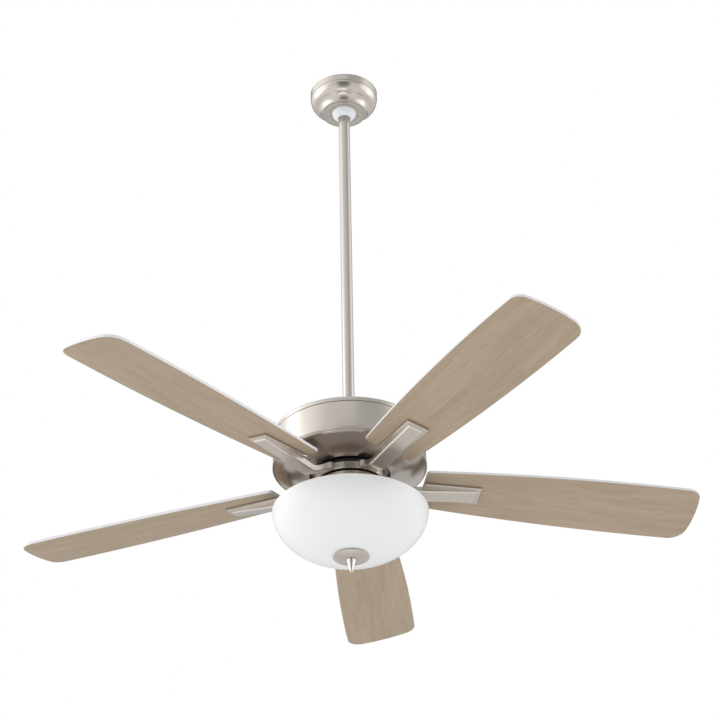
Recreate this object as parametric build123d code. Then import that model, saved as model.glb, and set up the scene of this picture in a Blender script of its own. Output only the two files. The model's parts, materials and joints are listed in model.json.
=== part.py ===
"""Five-blade ceiling fan on a long downrod, with an opal bowl light.

Millimetres. The origin is the centre of the ceiling plane, +Z points up, and the fan hangs along -Z.
Every piece is a separate solid in a node of its own; like fasteners share one node.
"""
from build123d import *
import os
from math import radians, sin, sqrt

# ---------------------------------------------------------------- fits
FACE_GAP = 0.05          # a pin or tube in its own hole, on one body
RUN_GAP = 0.08           # radial running clearance of a sliding or turning fit
SEAT_GAP = 0.3           # two curved faces that move on each other
TRIM_GAP = 0.4           # a cover round what passes through it

# ---------------------------------------------------------------- fasteners and sheet
SMALL_SCREW_RADIUS = 2.0
PAN_HEAD = 1.7           # a head's radius, in shank radii
SLIM_HEAD = 1.4
WASHER_RATIO = 2.6
SHEET = 1.2

# ---------------------------------------------------------------- ceiling bracket and canopy
CANOPY_HEIGHT = 57.0
CANOPY_WALL = 1.2
CANOPY_BAND_HEIGHT = 15.5
CANOPY_STEP = 1.0
CANOPY_SHOULDER = 12.5
CANOPY_COVE = 13.5
CANOPY_BULGE_DROP = 22.5
CANOPY_FOOT_BORDER = 10.5
CANOPY_FOOT_HEIGHT = 3.6
CANOPY_BEAD_GAP = 6.0
CANOPY_BEAD_WIDTH = 2.4
CANOPY_BEAD_HEIGHT = 0.9
BRACKET_THICKNESS = 2.5
BRACKET_WIDTH = 30.0
BRACKET_MARGIN = 9.55
BRACKET_SCREW_SPACING = 88.9
BRACKET_SLOT_RADIUS = 2.6
BRACKET_SLOT_LENGTH = 8.0
CRADLE_BORDER = 9.0
CRADLE_MOUTH = 1.0
CANOPY_SCREW_INSET = 4.0

# ---------------------------------------------------------------- hanger ball and downrod
BALL_RADIUS = 31.0
BALL_ABOVE_MOUTH = 12.0
BALL_TOP_CUT = 23.0
BALL_BOTTOM_CUT = 27.0
BALL_CHAMFER = 1.6
BALL_SLOT_WIDTH = 6.0
BALL_SLOT_DEPTH = 4.5
CRADLE_TAB_WIDTH = 4.6
CRADLE_TAB_LENGTH = 3.0
CROSS_PIN_RADIUS = 3.0
CROSS_PIN_RISE = 6.0
ROD_RADIUS = 12.7
ROD_WALL = 2.0
ROD_LENGTH = 914.4
ROD_ABOVE_BALL = 29.0

# ---------------------------------------------------------------- yoke and coupling cover
YOKE_WALL = 5.3
YOKE_RISE = 41.5
YOKE_TAIL = 16.0
YOKE_WEB = 2.6
FLANGE_STEP = 14.0
FLANGE_BORDER = 13.0
FLANGE_THICKNESS = 6.0
FLANGE_SCREW_COUNT = 4
FLANGE_SCREW_TURN = 45.0
CLEVIS_RADIUS = 3.2
CLEVIS_HEAD = 1.5
CLEVIS_DROP = 20.0
HAIRPIN_SHARE = 0.2
SET_SCREW_RADIUS = 3.0
SET_SCREW_DROP = 9.0
COVER_FOOT_BORDER = 7.0
COVER_CLEARANCE = 1.5
COVER_HEADROOM = 8.5

# ---------------------------------------------------------------- motor housing
ROD_SINK = 9.0
DRUM_RADIUS = 161.3
DRUM_FLARE = 2.2
DRUM_BAND_HEIGHT = 11.0
DRUM_GROOVE = 1.2
DRUM_HEIGHT = 77.0
DRUM_WALL = 1.4
BEAD_HEIGHT = 4.2
PAN_EDGE_HEIGHT = 5.0
PAN_DEPTH = 14.6
PAN_BELLY = 2.6
PAN_MOUTH_GAP = 7.5

# ---------------------------------------------------------------- motor
SHAFT_RADIUS = 8.5
SHAFT_WALL = 3.0
BEARING_SECTION = 11.5
BEARING_WIDTH = 12.0
BEARING_BALL_RADIUS = 3.2
BEARING_BALL_COUNT = 8
RACE_WALL = 3.6
CASE_RADIUS = 94.0
CASE_WALL = 2.0
CASE_GAP = 3.0
CASE_LIP = 6.0
CASE_SCREW_COUNT = 6
BOSS_WALL = 4.0
STATOR_RADIUS = 68.0
STATOR_SLOTS = 24
STATOR_SLOT_WIDTH = 2.8
AIR_GAP = 0.6
WINDING_STEP = 6.0
WINDING_WIDTH = 20.0
WINDING_HEIGHT = 9.0
WINDING_GAP = 6.0
NOSE_RADIUS = 42.0
NOSE_LENGTH = 8.5

# ---------------------------------------------------------------- hub and blades
BLADE_COUNT = 5
FIRST_BLADE_ANGLE = -60.0
HUB_OVERHANG = 5.3
HUB_WIDTH = 31.3
HUB_HEIGHT = 16.7
HUB_GAP = 6.6
HUB_SEAM_ANGLE = 0.7
FLYWHEEL_INSET = 3.3
FLYWHEEL_BORE = 27.0
FLYWHEEL_THICKNESS = 8.5
FLYWHEEL_SCREW_COUNT = 4
FLYWHEEL_SCREW_TURN = 45.0
BLADE_RISE = 5.5
BLADE_PITCH = -11.6
SWEEP_RADIUS = 762.0
BLADE_ROOT = 156.5
BLADE_THICKNESS = 6.0
ROOT_LEADING = 57.0
ROOT_TRAILING = 55.5
TIP_LEADING = 89.0
TIP_TRAILING = 72.0
LEADING_BULGE = 8.4
TRAILING_BULGE = 10.0
TIP_BULGE = 8.0
ROOT_CORNER = 11.0
TIP_LEADING_CORNER = 38.0
TIP_TRAILING_CORNER = 28.0
PLATE_END = 280.0
PLATE_WIDTH = 50.0
PLATE_THICKNESS = 6.0
PLATE_BORDER = 8.0
ARM_WIDTH = 34.0
ARM_TIP_DROP = 4.5
ARM_TIP_BEVEL = 1.5
ARM_MID_DROP = 10.5
ARM_MID = 190.0
ARM_NECK = 130.0
ARM_NECK_LOW = 22.5
ARM_NECK_HIGH = 9.5
ARM_INSET = 0.8
ARM_IN_HUB = 10.0
ARM_STATIONS = 4
BLADE_SCREW_RADIUS = 2.1
BLADE_SCREW_INSET = 20.0
BLADE_SCREW_SPREAD = 14.0
WASHER_THICKNESS = 1.0
IRON_BOLT_RADIUS = 2.4
IRON_BOLT_INSET = 16.3
IRON_BOLT_ANGLE = 18.0

# ---------------------------------------------------------------- light kit
NECK_RADIUS = 72.0
NECK_GAP = 3.1
NECK_HEIGHT = 47.4
NECK_PLATE = 2.0
NECK_LIP_HEIGHT = 12.0
NECK_SCREW_DROP = 9.0
NECK_SCREW_COUNT = 3
LAMP_BODY_RADIUS = 27.0
LAMP_BODY_BORDER = 2.0
SOCKET_WALL = 3.6
SOCKET_LENGTH = 44.0
SOCKET_FLOOR = 3.6
SOCKET_SINK = 8.5
LAMP_COUNT = 2
BULB_BASE_RADIUS = 13.0
BULB_RADIUS = 23.5
BULB_SHOULDER = 18.8
BULB_REACH = 100.0
BULB_GRIP = 22.0
STEM_RADIUS = 4.75
STEM_WALL = 1.55
STEM_RISE = 12.0
NUT_HEIGHT = 6.0
NUT_WALL = 4.25
SHAFT_NUT_WALL = 5.95
CAPACITOR_WIDTH = 36.0
CAPACITOR_DEPTH = 23.4
CAPACITOR_HEIGHT = 25.2
CAPACITOR_CORNER = 2.4
SWITCH_TRAVEL = 6.0
SWITCH_DROP = 29.0
SWITCH_WIDTH = 14.4
SWITCH_DEPTH = 10.0
SWITCH_BORDER = 5.0
SWITCH_SLOT_DEPTH = 5.0
SWITCH_KNOB_WIDTH = 3.6
SWITCH_KNOB_HEIGHT = 5.0
SWITCH_KNOB_REACH = 2.5

# ---------------------------------------------------------------- bowl and finial
BOWL_RADIUS = 164.0
BOWL_DEPTH = 107.0
BOWL_WALL = 4.0
BOWL_RIM_DROP = 59.1
BOWL_LAND = 1.0
BOWL_HOLE_GAP = 2.25
GASKET_RADIUS = 20.0
GASKET_THICKNESS = 1.5
CAP_RADIUS = 37.5
CAP_THICKNESS = 4.4
CAP_RIM = 1.5
KNOB_WALL = 5.25
KNOB_WAIST = 7.4
KNOB_LENGTH = 28.6
KNOB_TIP_RADIUS = 3.8
STEM_IN_KNOB = 17.0

# ---------------------------------------------------------------- radii that follow
CRADLE_RADIUS = BALL_RADIUS + CRADLE_BORDER
LEG_X = CRADLE_RADIUS - BRACKET_THICKNESS
BRACKET_REACH = BRACKET_SCREW_SPACING / 2 + BRACKET_SLOT_LENGTH / 2 + BRACKET_MARGIN
CANOPY_SCREW_CIRCLE = BALL_RADIUS + CANOPY_SCREW_INSET
CANOPY_BEAD_RADIUS = CANOPY_SCREW_CIRCLE + CANOPY_BEAD_GAP
CANOPY_FOOT_RADIUS = CANOPY_BEAD_RADIUS + CANOPY_FOOT_BORDER
CANOPY_BULGE_RADIUS = CANOPY_FOOT_RADIUS + CANOPY_COVE
CANOPY_RADIUS = CANOPY_BULGE_RADIUS + CANOPY_SHOULDER
YOKE_RADIUS = ROD_RADIUS + YOKE_WALL
YOKE_PIN_REACH = YOKE_RADIUS + 4 * FACE_GAP
FLANGE_SCREW_CIRCLE = YOKE_RADIUS + FLANGE_STEP
FLANGE_RADIUS = FLANGE_SCREW_CIRCLE + FLANGE_BORDER
COVER_FOOT_RADIUS = FLANGE_SCREW_CIRCLE + COVER_FOOT_BORDER
COVER_TOP_RADIUS = YOKE_RADIUS + CLEVIS_RADIUS + COVER_CLEARANCE + SHEET
HAIRPIN_RADIUS = CLEVIS_RADIUS * HAIRPIN_SHARE
SHAFT_BORE = SHAFT_RADIUS - SHAFT_WALL
BEARING_RADIUS = SHAFT_RADIUS + BEARING_SECTION
BEARING_PITCH = (SHAFT_RADIUS + BEARING_RADIUS) / 2
BOSS_RADIUS = BEARING_RADIUS + BOSS_WALL
CASE_SCREW_CIRCLE = CASE_RADIUS + CASE_LIP / 2
WINDING_OUTER = STATOR_RADIUS - WINDING_STEP
WINDING_INNER = WINDING_OUTER - WINDING_WIDTH
HUB_RADIUS = NECK_RADIUS + HUB_OVERHANG
HUB_INNER = HUB_RADIUS - HUB_WIDTH
PAN_MOUTH_RADIUS = HUB_RADIUS + PAN_MOUTH_GAP
FLYWHEEL_RADIUS = HUB_RADIUS - FLYWHEEL_INSET
FLYWHEEL_SCREW_CIRCLE = (NOSE_RADIUS + FLYWHEEL_BORE) / 2
IRON_BOLT_CIRCLE = HUB_RADIUS - IRON_BOLT_INSET
SOCKET_BORE = BULB_BASE_RADIUS + TRIM_GAP
SOCKET_RADIUS = SOCKET_BORE + SOCKET_WALL
LAMP_BODY_HEIGHT = 2 * (SOCKET_RADIUS + LAMP_BODY_BORDER)
SOCKET_START = LAMP_BODY_RADIUS - SOCKET_SINK
STEM_BORE = STEM_RADIUS - STEM_WALL
NUT_RADIUS = STEM_RADIUS + NUT_WALL
BOWL_HOLE_RADIUS = STEM_RADIUS + BOWL_HOLE_GAP
KNOB_RADIUS = STEM_RADIUS + KNOB_WALL

# ---------------------------------------------------------------- levels, from the ceiling down
BALL_Z = -CANOPY_HEIGHT + BALL_ABOVE_MOUTH
BALL_LOW_Z = BALL_Z - BALL_BOTTOM_CUT
BALL_HIGH_Z = BALL_Z + BALL_TOP_CUT
CANOPY_FLOOR_Z = -CANOPY_HEIGHT + CANOPY_WALL
CRADLE_Z = CANOPY_FLOOR_Z + SEAT_GAP
CRADLE_TOP_Z = CRADLE_Z + BRACKET_THICKNESS
ROD_TOP_Z = BALL_Z + ROD_ABOVE_BALL
ROD_BOTTOM_Z = ROD_TOP_Z - ROD_LENGTH
DRUM_TOP_Z = ROD_BOTTOM_Z + ROD_SINK
FLANGE_TOP_Z = DRUM_TOP_Z - DRUM_WALL
FLANGE_LOW_Z = FLANGE_TOP_Z - FLANGE_THICKNESS
YOKE_TOP_Z = DRUM_TOP_Z + YOKE_RISE
YOKE_LOW_Z = FLANGE_LOW_Z - YOKE_TAIL
CLEVIS_Z = YOKE_TOP_Z - CLEVIS_DROP
COVER_TOP_Z = YOKE_TOP_Z + COVER_HEADROOM
SHAFT_TOP_Z = ROD_BOTTOM_Z - YOKE_WEB
DRUM_LOW_Z = DRUM_TOP_Z - DRUM_HEIGHT
PAN_TOP_Z = DRUM_LOW_Z - BEAD_HEIGHT
PAN_EDGE_Z = PAN_TOP_Z - PAN_EDGE_HEIGHT
PAN_MOUTH_Z = PAN_EDGE_Z - PAN_DEPTH
HUB_TOP_Z = PAN_MOUTH_Z - HUB_GAP
HUB_LOW_Z = HUB_TOP_Z - HUB_HEIGHT
BLADE_Z = HUB_LOW_Z + BLADE_RISE
FLYWHEEL_TOP_Z = HUB_TOP_Z + FLYWHEEL_THICKNESS
CASE_TOP_Z = YOKE_LOW_Z - CASE_GAP
CASE_LOW_Z = FLYWHEEL_TOP_Z + NOSE_LENGTH
CASE_HEIGHT = CASE_TOP_Z - CASE_LOW_Z
CASE_SPLIT_Z = (CASE_TOP_Z + CASE_LOW_Z) / 2
UPPER_BEARING_Z = CASE_TOP_Z - CASE_WALL - BEARING_WIDTH
LOWER_BEARING_Z = CASE_LOW_Z
STATOR_HALF = CASE_HEIGHT / 2 - CASE_WALL - WINDING_GAP - WINDING_HEIGHT
NECK_TOP_Z = HUB_LOW_Z - NECK_GAP
NECK_LOW_Z = NECK_TOP_Z - NECK_HEIGHT
SHAFT_NUT_Z = NECK_TOP_Z - NECK_PLATE - NUT_HEIGHT
LAMP_BODY_LOW_Z = NECK_LOW_Z - LAMP_BODY_HEIGHT
SOCKET_Z = (NECK_LOW_Z + LAMP_BODY_LOW_Z) / 2
BOWL_RIM_Z = NECK_TOP_Z - BOWL_RIM_DROP
BOWL_LOW_Z = BOWL_RIM_Z - BOWL_DEPTH + BOWL_LAND
GASKET_LOW_Z = BOWL_LOW_Z - GASKET_THICKNESS - SEAT_GAP
CAP_LOW_Z = GASKET_LOW_Z - CAP_THICKNESS
STEM_TOP_Z = NECK_LOW_Z + STEM_RISE
STEM_LOW_Z = CAP_LOW_Z - STEM_IN_KNOB
SWITCH_Z = NECK_TOP_Z - SWITCH_DROP
SWITCH_HIGH_Z = SWITCH_Z + SWITCH_KNOB_HEIGHT / 2
SWITCH_LOW_Z = SWITCH_Z - SWITCH_KNOB_HEIGHT / 2


# ---------------------------------------------------------------- shared shapes
def disc(radius, low, high):
    """A round bar on the fan's axis between two levels."""
    return Pos(0, 0, low) * extrude(Circle(radius), amount=high - low)


def ring(outer, inner, low, high):
    """A plain ring on the fan's axis between two levels."""
    return Pos(0, 0, low) * extrude(Circle(outer) - Circle(inner), amount=high - low)


def block(x_span, y_span, z_span):
    """A box given by its lowest and highest coordinate on each axis."""
    size = [span[1] - span[0] for span in (x_span, y_span, z_span)]
    low = Pos(x_span[0], y_span[0], z_span[0])
    return low * Box(*size, align=(Align.MIN, Align.MIN, Align.MIN))


def turned(*edges):
    """Turn a closed half profile, drawn as radius and height, about the fan's axis."""
    return revolve(Plane.XZ * make_face(Curve() + list(edges)), Axis.Z)


def turned_points(*points):
    """Turn a closed half profile of straight lines about the fan's axis."""
    return turned(Polyline(*points, close=True))


def hexagon(radius, bore, low, high):
    """A hexagon nut on the fan's axis."""
    return Pos(0, 0, low) * extrude(RegularPolygon(radius, 6) - Circle(bore), amount=high - low)


def screw(shank, length, head=PAN_HEAD):
    """A screw along +Z: its head lies below z = 0 and its shank above."""
    body = extrude(Circle(shank), amount=length)
    button = extrude(Circle(shank * head), amount=-shank)
    return body + chamfer(button.edges().sort_by(Axis.Z)[0], shank / 3)


def across(shape, angle, radius, height):
    """Lay a +Z shape along the radius at an angle, starting at a radius and height."""
    return Rot(0, 0, angle) * Pos(radius, 0, height) * Rot(0, 90, 0) * shape


def around(shape, count, first=0.0):
    """Copies of a shape at equal angles about the fan's axis."""
    return [Rot(0, 0, first + 360.0 / count * turn) * shape for turn in range(count)]


def flange_bars(radius, low, high):
    """Bars for the screws that join the drum and the yoke's flange."""
    bar = Pos(FLANGE_SCREW_CIRCLE, 0, 0) * disc(radius, low, high)
    return around(bar, FLANGE_SCREW_COUNT, FLANGE_SCREW_TURN)


def flywheel_bars(low, high):
    """Bars for the screws that join the flywheel and the motor case's nose."""
    bar = Pos(FLYWHEEL_SCREW_CIRCLE, 0, 0) * disc(IRON_BOLT_RADIUS + FACE_GAP, low, high)
    return around(bar, FLYWHEEL_SCREW_COUNT, FLYWHEEL_SCREW_TURN)


def group(solids):
    """Separate solids that share one node."""
    return Compound(children=[solid.solid() for solid in solids])


# ---------------------------------------------------------------- ceiling bracket and canopy
def ceiling_bracket():
    """Steel strap with two slots, two legs and the cradle that the hanger ball sits in."""
    half = BRACKET_WIDTH / 2
    body = block((-BRACKET_REACH, BRACKET_REACH), (-half, half), (-BRACKET_THICKNESS, 0))
    slot = extrude(SlotOverall(BRACKET_SLOT_LENGTH, 2 * BRACKET_SLOT_RADIUS), amount=BRACKET_THICKNESS)
    screw_hole = disc(SMALL_SCREW_RADIUS + FACE_GAP, CRADLE_Z, CRADLE_TOP_Z)
    for side in (-1, 1):
        leg = block((LEG_X, LEG_X + BRACKET_THICKNESS), (-half, half), (CRADLE_Z, 0))
        body += leg if side > 0 else mirror(leg, Plane.YZ)
        body -= Pos(side * BRACKET_SCREW_SPACING / 2, 0, -BRACKET_THICKNESS) * slot
    body += disc(CRADLE_RADIUS, CRADLE_Z, CRADLE_TOP_Z)
    body -= Pos(0, 0, BALL_Z) * Sphere(BALL_RADIUS + SEAT_GAP)
    mouth = ROD_RADIUS + CRADLE_MOUTH
    body -= block((-mouth, mouth), (-CRADLE_RADIUS, 0), (CRADLE_Z, CRADLE_TOP_Z))
    for side in (-1, 1):
        body -= Pos(side * CANOPY_SCREW_CIRCLE, 0, 0) * screw_hole
    return body + cradle_tab()


def cradle_tab():
    """Tab that stands in the ball's slot, so that the fan can't turn on its rod."""
    half = CRADLE_TAB_WIDTH / 2
    seat = sqrt((BALL_RADIUS + SEAT_GAP) ** 2 - (BALL_Z - CRADLE_Z) ** 2)
    return block((-half, half), (seat - CRADLE_TAB_LENGTH, seat + BRACKET_THICKNESS), (CRADLE_Z, CRADLE_TOP_Z))


def canopy_sweep(inset):
    """The curved part of the canopy's wall, as two arcs, for the outside or, set in, the inside."""
    lift = inset / 2
    under = -CANOPY_BAND_HEIGHT - CANOPY_STEP
    shoulder = (CANOPY_RADIUS - CANOPY_STEP - inset, under)
    bulge = (CANOPY_BULGE_RADIUS - inset, under - CANOPY_BULGE_DROP + lift)
    foot = (CANOPY_FOOT_RADIUS - inset, -CANOPY_HEIGHT + CANOPY_FOOT_HEIGHT)
    full_radius = (shoulder[0] + bulge[0]) / 2 + CANOPY_BULGE_DROP / 6
    full_level = (shoulder[1] + bulge[1]) / 2 - CANOPY_BULGE_DROP / 8
    full = (full_radius, full_level)
    cove = ((bulge[0] + foot[0] - CANOPY_FOOT_HEIGHT) / 2, (bulge[1] + foot[1] + CANOPY_FOOT_HEIGHT) / 2)
    return shoulder, foot, [ThreePointArc(shoulder, full, bulge), ThreePointArc(bulge, cove, foot)]


def canopy():
    """Spun cup: a plain band, a bulge, a cove and a flat foot with a raised bead round the hole."""
    wall = CANOPY_WALL
    low = -CANOPY_HEIGHT
    hole = ball_radius_at(CANOPY_FLOOR_Z) + TRIM_GAP
    band = -CANOPY_BAND_HEIGHT
    shoulder, foot, outside = canopy_sweep(0)
    shoulder_in, foot_in, inside = canopy_sweep(wall)
    foot_line = Polyline(foot, (foot[0], low), (hole, low), (hole, CANOPY_FLOOR_Z),
                         (foot_in[0], CANOPY_FLOOR_Z), foot_in)
    band_line = Polyline(shoulder_in, (CANOPY_RADIUS - wall, band), (CANOPY_RADIUS - wall, 0),
                         (CANOPY_RADIUS, 0), (CANOPY_RADIUS, band), shoulder)
    body = turned(*outside, foot_line, *inside, band_line)
    half_bead = CANOPY_BEAD_WIDTH / 2
    body += turned_points((CANOPY_BEAD_RADIUS - half_bead, low), (CANOPY_BEAD_RADIUS, low - CANOPY_BEAD_HEIGHT),
                          (CANOPY_BEAD_RADIUS + half_bead, low))
    for side in (-1, 1):
        body -= Pos(side * CANOPY_SCREW_CIRCLE, 0, 0) * disc(SMALL_SCREW_RADIUS + SEAT_GAP, low, CANOPY_FLOOR_Z)
    return body


def canopy_screws():
    """Two small screws through the canopy's foot into the cradle."""
    one = screw(SMALL_SCREW_RADIUS, CRADLE_TOP_Z + CANOPY_HEIGHT + CANOPY_WALL)
    return group([Pos(side * CANOPY_SCREW_CIRCLE, 0, -CANOPY_HEIGHT) * one for side in (-1, 1)])


# ---------------------------------------------------------------- hanger ball and downrod
def ball_radius_at(level):
    """The ball's radius at a level."""
    return sqrt(BALL_RADIUS ** 2 - (BALL_Z - level) ** 2)


def hanger_ball():
    """Plastic ball, flat at both ends, with a slot for the cradle's tab and a chamfer round the rod."""
    body = Pos(0, 0, BALL_Z) * Sphere(BALL_RADIUS)
    body &= disc(BALL_RADIUS, BALL_LOW_Z, BALL_HIGH_Z)
    body -= disc(ROD_RADIUS + FACE_GAP, BALL_LOW_Z, BALL_HIGH_Z)
    body -= turned_points((ROD_RADIUS, BALL_LOW_Z), (ROD_RADIUS + BALL_CHAMFER, BALL_LOW_Z),
                          (ROD_RADIUS, BALL_LOW_Z + 2 * BALL_CHAMFER))
    half = BALL_SLOT_WIDTH / 2
    slot = block((-half, half), (0, BALL_RADIUS), (BALL_LOW_Z, BALL_HIGH_Z))
    body -= slot - Pos(0, 0, BALL_Z) * Sphere(BALL_RADIUS - BALL_SLOT_DEPTH)
    return body - cross_pin_bar(CROSS_PIN_RADIUS + FACE_GAP)


def cross_pin_bar(radius):
    """Round bar along X through the ball and the rod."""
    level = BALL_Z + CROSS_PIN_RISE
    reach = ball_radius_at(level) - CROSS_PIN_RADIUS
    return Pos(-reach, 0, level) * Rot(0, 90, 0) * extrude(Circle(radius), amount=2 * reach)


def downrod():
    """Steel tube with a pin hole near each end."""
    tube = ring(ROD_RADIUS, ROD_RADIUS - ROD_WALL, ROD_BOTTOM_Z, ROD_TOP_Z)
    return tube - cross_pin_bar(CROSS_PIN_RADIUS + FACE_GAP) - clevis_bar(CLEVIS_RADIUS + FACE_GAP, YOKE_RADIUS)


# ---------------------------------------------------------------- yoke and coupling cover
def clevis_bar(radius, reach):
    """Round bar along X through the yoke and the rod."""
    return Pos(-reach, 0, CLEVIS_Z) * Rot(0, 90, 0) * extrude(Circle(radius), amount=2 * reach)


def motor_yoke():
    """Cast collar for the rod, flange that carries the housing, and tail that holds the motor's shaft."""
    body = turned_points((0, YOKE_TOP_Z), (YOKE_RADIUS, YOKE_TOP_Z), (YOKE_RADIUS, FLANGE_TOP_Z),
                         (FLANGE_RADIUS, FLANGE_TOP_Z), (FLANGE_RADIUS, FLANGE_LOW_Z),
                         (YOKE_RADIUS, FLANGE_LOW_Z), (YOKE_RADIUS, YOKE_LOW_Z), (0, YOKE_LOW_Z))
    body -= disc(ROD_RADIUS + FACE_GAP, ROD_BOTTOM_Z, YOKE_TOP_Z)
    body -= disc(SHAFT_BORE, SHAFT_TOP_Z, ROD_BOTTOM_Z)
    body -= disc(SHAFT_RADIUS + FACE_GAP, YOKE_LOW_Z, SHAFT_TOP_Z)
    body -= clevis_bar(CLEVIS_RADIUS + FACE_GAP, YOKE_RADIUS)
    set_screw_hole = extrude(Circle(SET_SCREW_RADIUS + FACE_GAP), amount=YOKE_RADIUS)
    body -= [across(set_screw_hole, side, 0, YOKE_TOP_Z - SET_SCREW_DROP) for side in (-90, 90)]
    return body - flange_bars(SMALL_SCREW_RADIUS + FACE_GAP, FLANGE_LOW_Z, FLANGE_TOP_Z)


def clevis_pin():
    """Headed pin that locks the rod in the yoke, drilled at its end for the hairpin."""
    reach = YOKE_PIN_REACH
    pin = clevis_bar(CLEVIS_RADIUS, reach)
    head = extrude(Circle(CLEVIS_RADIUS * CLEVIS_HEAD), amount=CLEVIS_RADIUS)
    head = Pos(-reach, 0, CLEVIS_Z) * Rot(0, -90, 0) * head
    tail = Pos(reach, 0, CLEVIS_Z) * Rot(0, 90, 0) * extrude(Circle(CLEVIS_RADIUS), amount=CLEVIS_RADIUS)
    bore = Pos(reach + CLEVIS_RADIUS / 2, 0, 0) * disc(
        HAIRPIN_RADIUS + FACE_GAP, CLEVIS_Z - CLEVIS_RADIUS, CLEVIS_Z + CLEVIS_RADIUS)
    return pin + head + tail - bore


def hairpin():
    """Wire hairpin: a straight leg through the clevis pin and a leg that springs round it."""
    x = YOKE_PIN_REACH + CLEVIS_RADIUS / 2
    reach = 2 * CLEVIS_RADIUS
    side = CLEVIS_RADIUS + HAIRPIN_RADIUS + FACE_GAP
    route = FilletPolyline((x, 0, CLEVIS_Z - reach), (x, 0, CLEVIS_Z + reach), (x, side, CLEVIS_Z + reach),
                           (x, side, CLEVIS_Z - CLEVIS_RADIUS), radius=side / 3)
    start = Plane(origin=(x, 0, CLEVIS_Z - reach), z_dir=(0, 0, 1))
    return sweep(start * Circle(HAIRPIN_RADIUS), path=route)


def yoke_set_screws():
    """Two headless screws that bear on the rod."""
    one = extrude(Circle(SET_SCREW_RADIUS), amount=YOKE_WALL)
    return group([across(one, side, ROD_RADIUS, YOKE_TOP_Z - SET_SCREW_DROP) for side in (-90, 90)])


def cover_shape(inset, high):
    """The coupling cover's filled shape: a straight neck on a flared skirt."""
    foot = COVER_FOOT_RADIUS - inset
    neck = COVER_TOP_RADIUS - inset
    bend_z = (DRUM_TOP_Z + COVER_TOP_Z) / 2
    middle = ((foot + neck) / 2 - SHEET, (bend_z + DRUM_TOP_Z) / 2 + SHEET)
    return turned(
        Line((0, DRUM_TOP_Z), (foot, DRUM_TOP_Z)),
        ThreePointArc((foot, DRUM_TOP_Z), middle, (neck, bend_z)),
        Polyline((neck, bend_z), (neck, high), (0, high), (0, DRUM_TOP_Z)),
    )


def coupling_cover():
    """Spun cover that hides the yoke, with a hole for the rod."""
    floor = COVER_TOP_Z - SHEET
    hole = disc(ROD_RADIUS + TRIM_GAP, floor, COVER_TOP_Z)
    return cover_shape(0, COVER_TOP_Z) - cover_shape(SHEET, floor) - hole


# ---------------------------------------------------------------- motor housing
def upper_housing():
    """Spun drum: a top plate, a plain band, a flared wall and a bead at the foot."""
    r = DRUM_RADIUS
    band = DRUM_TOP_Z - DRUM_BAND_HEIGHT
    groove = band - DRUM_GROOVE
    flare = r + DRUM_FLARE
    neck = r - DRUM_GROOVE
    body = turned_points((YOKE_RADIUS + TRIM_GAP, DRUM_TOP_Z), (r - DRUM_WALL, DRUM_TOP_Z), (r, FLANGE_TOP_Z),
                         (r, band), (neck, groove), (r, groove - DRUM_GROOVE / 2),
                         (flare, DRUM_LOW_Z), (flare - DRUM_GROOVE, DRUM_LOW_Z - DRUM_GROOVE / 2),
                         (flare, DRUM_LOW_Z - DRUM_GROOVE), (flare, PAN_TOP_Z),
                         (flare - 2 * DRUM_WALL, PAN_TOP_Z), (flare - 2 * DRUM_WALL, DRUM_LOW_Z),
                         (neck - DRUM_WALL, groove - DRUM_GROOVE), (neck - DRUM_WALL, FLANGE_TOP_Z),
                         (YOKE_RADIUS + TRIM_GAP, FLANGE_TOP_Z))
    return body - flange_bars(SMALL_SCREW_RADIUS + SEAT_GAP, FLANGE_TOP_Z, DRUM_TOP_Z)


def housing_screws():
    """Four screws that hold the drum on the yoke's flange."""
    one = Pos(FLANGE_SCREW_CIRCLE, 0, DRUM_TOP_Z) * Rot(180, 0, 0) * screw(
        SMALL_SCREW_RADIUS, DRUM_WALL + FLANGE_THICKNESS)
    return group(around(one, FLANGE_SCREW_COUNT, FLANGE_SCREW_TURN))


def lower_housing():
    """Spun pan under the motor: a rolled edge, a hidden collar in the drum and a mouth for the hub."""
    edge = DRUM_RADIUS + DRUM_FLARE
    roll = PAN_EDGE_HEIGHT / 3
    collar = edge - 2 * DRUM_WALL - FACE_GAP
    start = (edge - 2 * roll, PAN_EDGE_Z)
    mouth = (PAN_MOUTH_RADIUS, PAN_MOUTH_Z)
    middle = ((start[0] + mouth[0]) / 2, (start[1] + mouth[1]) / 2 + PAN_BELLY)
    lift = DRUM_WALL
    inner_start = (collar - lift, start[1] + lift)
    return turned(
        Polyline((collar - lift, DRUM_LOW_Z), (collar, DRUM_LOW_Z), (collar, PAN_TOP_Z),
                 (edge - roll / 2, PAN_TOP_Z), (edge, PAN_TOP_Z - roll), (edge, PAN_TOP_Z - 2 * roll), start),
        ThreePointArc(start, middle, mouth),
        Line(mouth, (mouth[0], mouth[1] + lift)),
        ThreePointArc((mouth[0], mouth[1] + lift), (middle[0], middle[1] + lift), inner_start),
        Line(inner_start, (collar - lift, DRUM_LOW_Z)),
    )


# ---------------------------------------------------------------- motor
def motor_shaft():
    """Fixed hollow shaft from the yoke down to the light kit's plate."""
    return ring(SHAFT_RADIUS, SHAFT_BORE, SHAFT_NUT_Z, SHAFT_TOP_Z)


def bearing_levels():
    """The low face of each bearing."""
    return (UPPER_BEARING_Z, LOWER_BEARING_Z)


def ball_track(level, radius):
    """Ring that the bearing balls run in, or the groove that they need."""
    return Pos(0, 0, level + BEARING_WIDTH / 2) * Torus(BEARING_PITCH, radius)


def bearing_inner_races():
    """Two inner races, pressed on the shaft."""
    races = []
    for level in bearing_levels():
        race = ring(SHAFT_RADIUS + RACE_WALL, SHAFT_RADIUS + FACE_GAP, level, level + BEARING_WIDTH)
        races.append(race - ball_track(level, BEARING_BALL_RADIUS + RUN_GAP))
    return group(races)


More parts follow.
